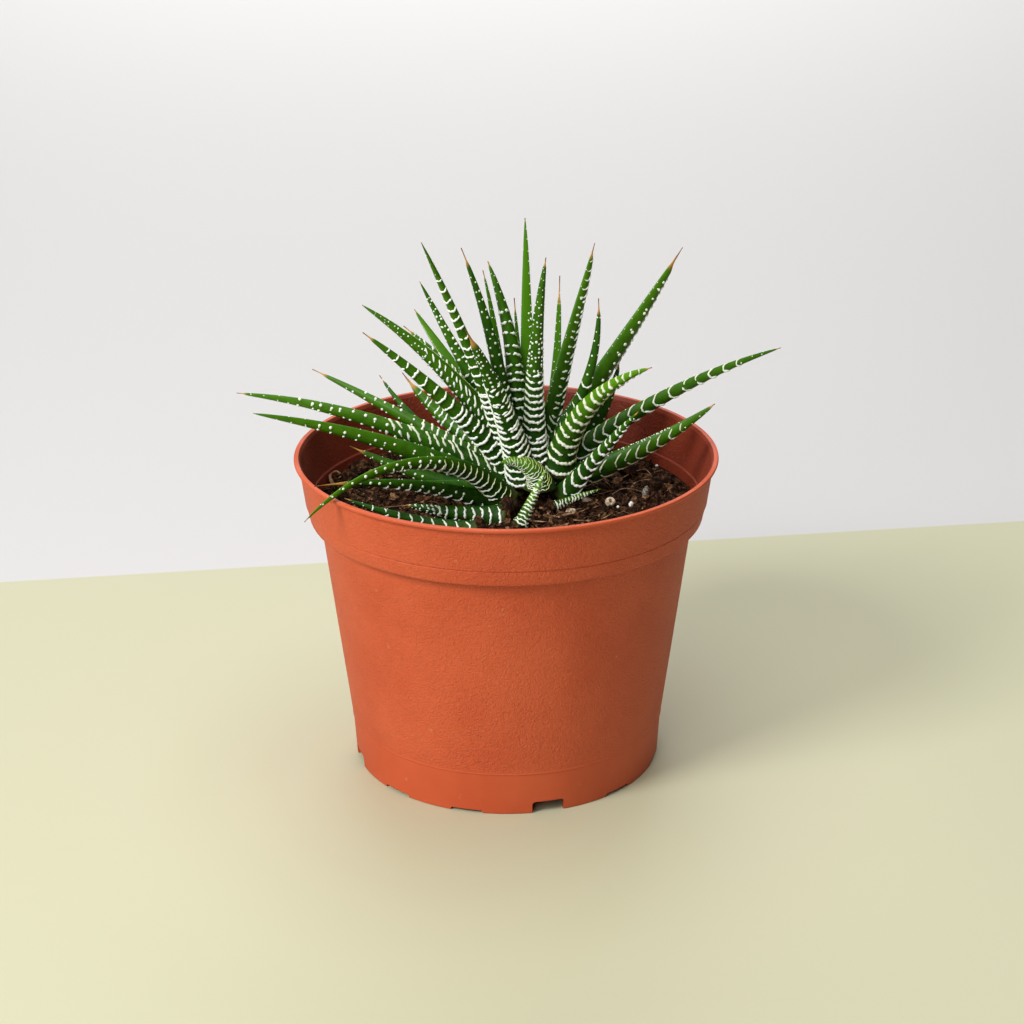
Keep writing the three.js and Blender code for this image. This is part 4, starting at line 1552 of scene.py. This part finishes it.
# Roots and sheath threads that lie in front of the crown and round it
ROOTS = (
    Strand(((10.5, -11.5, 0.3), (13.5, -10.6, 0.9), (17, -10.9, 1.2), (21, -8.4, 1.0),
            (24.5, -5.6, 0.8), (26.8, -3.0, 0.4)), 0.42),
    Strand(((12.5, -10.4, 0.6), (11, -12.4, 0.8), (13.5, -14.2, 0.7), (19.5, -14.6, 0.4)), 0.3),
    Strand(((11.6, -9.2, 0.6), (13.2, -7.4, 1.2), (15.8, -7.6, 0.9)), 0.34),
    Strand(((14, -12.5, 0.2), (19, -13.6, 0.8), (25.5, -13.2, 0.9), (30, -11.2, 0.3)), 0.24),
    Strand(((22, 8, 0.5), (24.5, 11.5, 1.6), (28, 13, 1.5), (31, 11.5, 0.4)), 0.2),
    Strand(((34, 18, 0.4), (37.5, 19.6, 1.7), (41, 18.5, 1.8), (43.5, 15.5, 0.6)), 0.16),
    Strand(((36, 9, 0.4), (38, 13.5, 1.2), (42, 15.5, 1.3), (47, 13.5, 0.5)), 0.2),
    Strand(((30.5, 4, 0.4), (33.5, 7.5, 1.3), (37.5, 7.8, 1.2), (40.5, 5.4, 0.3)), 0.22),
    Strand(((-50.5, 14.5, 0.4), (-51.5, 17.2, 1.8), (-49.8, 19.4, 2.7), (-48.2, 18.0, 2.3),
            (-48.9, 16.2, 1.7)), 0.5),
    Strand(((-22, -4, 0.3), (-28, -2, 0.9), (-36, -4.5, 0.7), (-43, -3.5, 0.3)), 0.2),
    Strand(((-17, 18, 0.5), (-25, 22, 1.4), (-34, 21, 1.2), (-42, 24, 0.5)), 0.24),
    Strand(((2, -13, 0.2), (5.5, -16.5, 0.9), (10.5, -17.5, 0.9), (17, -16.5, 0.3)), 0.26),
)


@dataclass
class Strands:
    """The roots and dry fibres that lie on the peat."""

    soil: Soil
    fibres: int = 260
    fibre_steps: int = 10
    bend: float = 0.22
    wander: float = 0.18
    arch_low: float = 0.1
    arch_high: float = 1.1
    thinnest: float = 0.06
    thickest: float = 0.15
    shortest: float = 3.5
    longest: float = 10.0
    start_radius: float = 51.0
    edge_radius: float = 51.5
    root_sides: int = 8
    fibre_sides: int = 4
    seed: int = 5

    def tree(self) -> bpy.types.NodeTree:
        """Builds the tree that gives edges their girth."""
        make = ShapeTree("root_strands", {"Sides": "Int", "Finish": "Material"})
        strand = make.sweep(make.given(), make.given("Sides"), make.carried("girth"))
        return make.done(make.coat(make.plain("SetShadeSmooth", strand), make.given("Finish")))

    def root(self, strand: Strand) -> tuple[np.ndarray, np.ndarray]:
        """Gives a root's smooth middle line and its girth, in millimetres."""
        spots = np.array(strand.spots, float)
        spots[:, 2] += [self.soil.height(x, y) for x, y in spots[:, :2]]
        reach = np.linspace(0, len(spots) - 1, 6 * len(spots))
        ends = np.vstack([2 * spots[0] - spots[1], spots, 2 * spots[-1] - spots[-2]])
        line = []
        for t in reach:
            k = min(int(t), len(spots) - 2)
            a, b, c, d = ends[k:k + 4]
            u = t - k
            line.append(0.5 * (2 * b + (c - a) * u + (2 * a - 5 * b + 4 * c - d) * u ** 2
                               + (3 * b - a - 3 * c + d) * u ** 3))
        share = reach / reach[-1]
        knots = 1 + 0.18 * np.sin(9.0 * share + strand.girth * 40) + 0.1 * np.sin(31 * share)
        return np.array(line), strand.girth * (1 - (1 - strand.thinned) * share) * knots

    def fibre(self, rng: np.random.Generator) -> tuple[np.ndarray, np.ndarray]:
        """Gives one random fibre's middle line and its girth, in millimetres."""
        last = self.fibre_steps - 1
        radius = self.start_radius * math.sqrt(rng.random())
        angle = rng.uniform(0, 2 * math.pi)
        x, y = radius * math.cos(angle), radius * math.sin(angle)
        heading, turn = rng.uniform(0, 2 * math.pi), rng.normal(0, self.bend)
        stride = rng.uniform(self.shortest, self.longest) / last
        lift = rng.uniform(self.arch_low, self.arch_high)
        line = []
        for k in range(self.fibre_steps):
            if math.hypot(x, y) < self.edge_radius:
                arch = lift * math.sin(math.pi * k / last)
                line.append((x, y, self.soil.height(x, y) * 0.4 + 0.6 * (SOIL_LEVEL + 0.6) + arch))
            heading += turn + rng.normal(0, self.wander)
            x, y = x + stride * math.cos(heading), y + stride * math.sin(heading)
        girth = rng.uniform(self.thinnest, self.thickest) * np.linspace(1, 0.5, len(line))
        return np.array(line), girth

    def bundle(self, name: str, lines: Sequence[tuple[np.ndarray, np.ndarray]], sides: int,
               finish: Mottled) -> None:
        """Makes one piece from many strands.

        Args:
            name: The piece's name.
            lines: Middle lines and girths.
            sides: Faces round a strand.
            finish: The strands' finish.
        """
        points, edges, girths = [], [], []
        for line, girth in lines:
            if len(line) < 3:
                continue
            edges += [(len(points) + k, len(points) + k + 1) for k in range(len(line) - 1)]
            points += line.tolist()
            girths += (girth * MM).tolist()
        mesh = mesh_from(name, np.array(points), [], edges)
        set_attribute(mesh, "girth", np.array(girths))
        piece = link_mesh(name, mesh)
        run_tree(piece, self.tree(), {"Sides": sides, "Finish": finish.build()})
        piece.data.attributes.remove(piece.data.attributes["girth"])
        settle(piece, "soil")

    def build(self) -> None:
        """Builds the roots and the fibres."""
        rng = np.random.default_rng(self.seed)
        roots = [self.root(strand) for strand in ROOTS]
        self.bundle("roots", roots, self.root_sides, ROOT)
        fibres = [self.fibre(rng) for _ in range(self.fibres)]
        self.bundle("peat_fibres", fibres, self.fibre_sides, FIBRE)


@dataclass(frozen=True)
class Grain:
    """One larger bit on the peat: its place, half sizes, lean and turn in degrees, finish."""

    name: str
    x: float
    y: float
    sizes: Point
    lean: float
    turn: float
    finish: Mottled
    lift: float = 0.5
    roughness: float = 0.16


GRAINS = (
    Grain("perlite_grain_1", 35.3, -5.1, (0.75, 0.6, 1.0), 25, 20, PERLITE, 1.1),
    Grain("perlite_grain_2", 33.8, -1.3, (0.4, 0.4, 0.6), -20, 60, PERLITE, 1.0),
    Grain("perlite_grain_3", 31.5, -8.2, (0.4, 0.35, 0.4), 0, 0, PERLITE, 0.8),
    Grain("perlite_grain_4", 44.6, 27.2, (0.45, 0.4, 0.4), 0, 0, PERLITE, 0.9),
    Grain("perlite_grain_5", 25.5, -14.0, (0.35, 0.3, 0.3), 0, 0, PERLITE, 0.9),
    Grain("grit_grain_1", 40.0, 3.5, (1.1, 0.9, 1.9), 12, 30, GRIT, 1.6, 0.08),
    Grain("bark_piece_1", 23.0, 0.2, (2.0, 1.2, 0.7), 20, 25, HUSK, 0.9, 0.4),
    Grain("bark_piece_2", 18.2, -8.3, (1.9, 0.9, 0.7), -15, -35, HUSK, 1.4, 0.4),
    Grain("bark_piece_3", 36.5, 0.0, (1.5, 1.0, 1.8), 10, 70, BARK, 0.8, 0.3),
    Grain("bark_piece_4", 24.0, 14.5, (2.6, 1.5, 1.1), 30, -20, BARK, 0.9, 0.3),
    Grain("bark_piece_5", 32.0, 14.0, (2.2, 1.3, 1.2), -25, 40, BARK, 0.9, 0.3),
    Grain("clod_8", -0.1, -12.6, (2.5, 3.4, 4.3), 0, 10, PEAT, 2.7, 0.4),
    Grain("clod_9", -7.6, -20.7, (2.2, 2.6, 3.0), 0, 10, PEAT, 2.2, 0.4),
    Grain("clod_10", 12.7, -6.2, (1.4, 2.2, 1.9), 0, 20, PEAT, 1.1, 0.5),
    Grain("clod_11", 2.6, -20.4, (2.2, 1.7, 1.5), 0, 30, PEAT, 0.5, 0.5),
    Grain("clod_1", 43.0, 9.5, (3.0, 2.4, 2.4), 0, 20, PEAT, 0.5, 0.5),
    Grain("clod_2", 46.0, 16.5, (3.2, 2.6, 2.2), 0, 80, PEAT, 0.4, 0.5),
    Grain("clod_3", 37.0, 22.0, (3.6, 2.8, 2.4), 0, 10, PEAT, 0.6, 0.5),
    Grain("clod_4", -42.6, 26.2, (3.8, 3.0, 2.8), 0, 0, PEAT, 1.0, 0.5),
    Grain("clod_5", -46.4, 18.8, (3.0, 3.4, 2.6), 0, 50, PEAT, 0.8, 0.5),
    Grain("clod_6", -37.5, 31.5, (4.0, 2.8, 2.6), 0, 30, PEAT, 0.8, 0.5),
    Grain("clod_7", -34.0, -16.0, (3.6, 2.6, 1.8), 0, 15, PEAT, 0.4, 0.5),
)


@dataclass
class Bits:
    """The few larger bits that lie on the peat, and a pale hollow husk with a round mouth."""

    soil: Soil
    sides: int = 22
    bump_pitch: float = 1.6
    bead_place: tuple[float, float] = (29.5, -2.9)
    bead_radius: float = 1.55
    bead_hole: float = 0.62
    bead_tilt: tuple[float, float] = (38.0, 14.0)

    def bit(self, grain: Grain) -> None:
        """Builds one rough, rounded bit."""
        form = bmesh.new()
        bmesh.ops.create_icosphere(form, subdivisions=3, radius=1.0)
        turn = (Matrix.Rotation(math.radians(grain.turn), 3, "Z")
                @ Matrix.Rotation(math.radians(grain.lean), 3, "Y"))
        centre = Vector((grain.x, grain.y, self.soil.height(grain.x, grain.y) + grain.lift))
        for corner in form.verts:
            spot = corner.co.copy()
            bumps = noise.fractal(spot * self.bump_pitch + centre, 1.0, 2.0, 3)
            swell = 1 + grain.roughness * bumps
            sized = Vector((spot[k] * grain.sizes[k] * swell for k in range(3)))
            corner.co = (turn @ sized + centre) * MM
        mesh = bpy.data.meshes.new(grain.name)
        form.to_mesh(mesh)
        form.free()
        mesh.polygons.foreach_set("use_smooth", [True] * len(mesh.polygons))
        mesh.materials.append(grain.finish.build())
        settle(link_mesh(grain.name, mesh), "soil")

    def bead(self) -> None:
        """Builds the hollow husk, which lies with its mouth up and towards the front."""
        x, y = self.bead_place
        base = self.soil.height(x, y) + 0.2
        big, hole = self.bead_radius, self.bead_hole
        outline = fillet([
            (0, base, 0), (big * 0.7, base + 0.1, 0.3), (big, base + big * 0.7, 0.6),
            (big * 0.86, base + big * 1.35, 0.5), (hole, base + big * 1.42, 0.2),
            (hole * 0.85, base + big * 0.5, 0.2), (0, base + big * 0.45, 0)])
        mesh = turned("hollow_bead", outline, self.sides, (x, y))
        forward, sideways = (math.radians(angle) for angle in self.bead_tilt)
        tilt = Matrix.Rotation(forward, 4, "X") @ Matrix.Rotation(sideways, 4, "Y")
        middle = Matrix.Translation(Vector((x, y, base + big * 0.7)) * MM)
        mesh.transform(middle @ tilt @ middle.inverted())
        mesh.materials.append(HUSK.build())
        settle(link_mesh("hollow_bead", mesh), "soil")

    def build(self) -> None:
        """Builds every bit."""
        for grain in GRAINS:
            self.bit(grain)
        self.bead()


@dataclass
class Stems:
    """The two short stems, wrapped in old leaf bases, that the leaves grow from."""

    root_depth: float = 14.0
    crown: tuple[float, float, float, float, float] = (CROWN_X, CROWN_Y, 5.2, 84.0, 92.0)
    offset: tuple[float, float, float, float, float] = (0.0, -6.0, 3.6, 79.0, 82.0)
    scar_pitch: float = 1.6
    scar_depth: float = 0.25

    def stem(self, x: float, y: float, radius: float, shoulder: float,
             top: float) -> bpy.types.Mesh:
        """Makes one stem, ringed with leaf scars."""
        low = SOIL_LEVEL - self.root_depth
        outline = [(0.0, low), (radius * 0.6, low), (radius - 0.1, SOIL_LEVEL - 4)]
        z = SOIL_LEVEL - 3
        while z < shoulder:
            outline += [(radius, z), (radius - self.scar_depth, z + self.scar_pitch * 0.8)]
            z += self.scar_pitch
        outline += [(radius * 0.9, shoulder + (top - shoulder) * 0.3),
                    (radius * 0.62, shoulder + (top - shoulder) * 0.7),
                    (radius * 0.3, top - 0.3), (0.0, top)]
        return turned("stem", outline, 40, (x, y))

    def build(self) -> None:
        """Builds both stems."""
        finish = STEM.build()
        for name, sizes in (("crown_stem", self.crown), ("offset_stem", self.offset)):
            stem = link_mesh(name + "_fine", self.stem(*sizes))
            stem.data.materials.append(finish)
            settle(stem, "stem", name)


# Floor, lights and camera

@dataclass(frozen=True)
class Lamp:
    """One square soft light: where it hangs, what it faces, its side in mm and its watts."""

    name: str
    place: Point
    aim: Point
    size: float
    power: float


@dataclass
class Studio:
    """A plain pale floor, soft light and the camera at the photograph's angle."""

    floor_half: float = 9000.0
    edge_near: float = 147.0
    edge_slant: float = 0.148
    edge_half: float = 0.4
    roughness: float = 0.6
    table: str = "bfbd9e"
    paper: str = "c8c6c5"
    camera_place: Point = (0.0, -629.12, 322.74)
    camera_aim: Point = (0.00237, 0.92968, -0.36837)
    camera_roll: float = -0.12
    focal_pixels: float = 2366.0
    image_pixels: float = 1024.0
    sensor: float = 36.0
    clip_start: float = 0.01
    clip_end: float = 20.0
    lamps: tuple[Lamp, ...] = (
        Lamp("key_light", (-843.0, -695.0, 900.0), (0.0, 0.0, 60.0), 450.0, 15.8),
        Lamp("front_light", (-450.0, -1250.0, 800.0), (0.0, 0.0, 60.0), 700.0, 6.0),
        Lamp("top_light", (0.0, 200.0, 2200.0), (0.0, 200.0, 0.0), 2400.0, 38.0),
        Lamp("back_light", (-100.0, 1900.0, 1100.0), (-100.0, 1900.0, 0.0), 1400.0, 26.0),
    )
    sky: float = 0.035

    def floor(self) -> None:
        """Lays a floor in two pale tones that meet behind the pot."""
        half = self.floor_half
        mesh = mesh_from("floor", np.array([(-half, -half, 0), (half, -half, 0),
                                            (half, half, 0), (-half, half, 0)]), [[0, 1, 2, 3]])
        make = SurfaceTree("painted_floor")
        across, back = (make.add("ShaderNodeSeparateXYZ", axis, {"Vector": make.place})
                        for axis in "XY")
        slant = make.maths("MULTIPLY_ADD", across, -self.edge_slant, back)
        beyond = make.rise(slant, (self.edge_near - self.edge_half) * MM,
                           (self.edge_near + self.edge_half) * MM)
        mesh.materials.append(make.finish(make.mix(beyond, self.table, self.paper),
                                          {"Roughness": self.roughness}))
        floor = link_mesh("floor", mesh)

    def light(self, lamp: Lamp) -> None:
        """Hangs one square soft light."""
        data = bpy.data.lights.new(lamp.name, "AREA")
        data.shape, data.size, data.energy = "SQUARE", lamp.size * MM, lamp.power
        holder = bpy.data.objects.new(lamp.name, data)
        holder.location = Vector(lamp.place) * MM
        aim = (Vector(lamp.aim) - Vector(lamp.place)) * MM
        holder.rotation_euler = aim.to_track_quat("-Z", "Y").to_euler()
        bpy.context.scene.collection.objects.link(holder)

    def camera(self) -> None:
        """Sets the camera."""
        aim = Vector(self.camera_aim).normalized()
        level = aim.cross(Vector((0, 0, 1))).normalized()
        over = level.cross(aim)
        roll = math.radians(self.camera_roll)
        right = level * math.cos(roll) + over * math.sin(roll)
        up = over * math.cos(roll) - level * math.sin(roll)
        data = bpy.data.cameras.new("camera")
        data.sensor_width = self.sensor
        data.lens = self.focal_pixels / self.image_pixels * self.sensor
        data.clip_start, data.clip_end = self.clip_start, self.clip_end
        camera = bpy.data.objects.new("camera", data)
        turn = Matrix((right, up, -aim)).transposed().to_4x4()
        camera.matrix_world = Matrix.Translation(Vector(self.camera_place) * MM) @ turn
        bpy.context.scene.collection.objects.link(camera)
        bpy.context.scene.camera = camera

    def build(self) -> None:
        """Builds the stage."""
        self.floor()
        for lamp in self.lamps:
            self.light(lamp)
        self.camera()
        world = bpy.data.worlds.new("studio_sky")
        world.use_nodes = True
        back = world.node_tree.nodes["Background"]
        back.inputs["Color"].default_value = linear("ffffff")
        back.inputs["Strength"].default_value = self.sky
        bpy.context.scene.world = world
        bpy.context.scene.view_settings.view_transform = "Standard"


def main() -> None:
    """Builds the whole object in order."""
    logging.basicConfig(level=logging.INFO, format="%(name)s %(message)s")
    Studio().build()
    Pot().build()
    soil = Soil()
    soil.build()
    Strands(soil).build()
    Bits(soil).build()
    Stems().build()
    Clump().build()


if __name__ == "__main__":
    main()
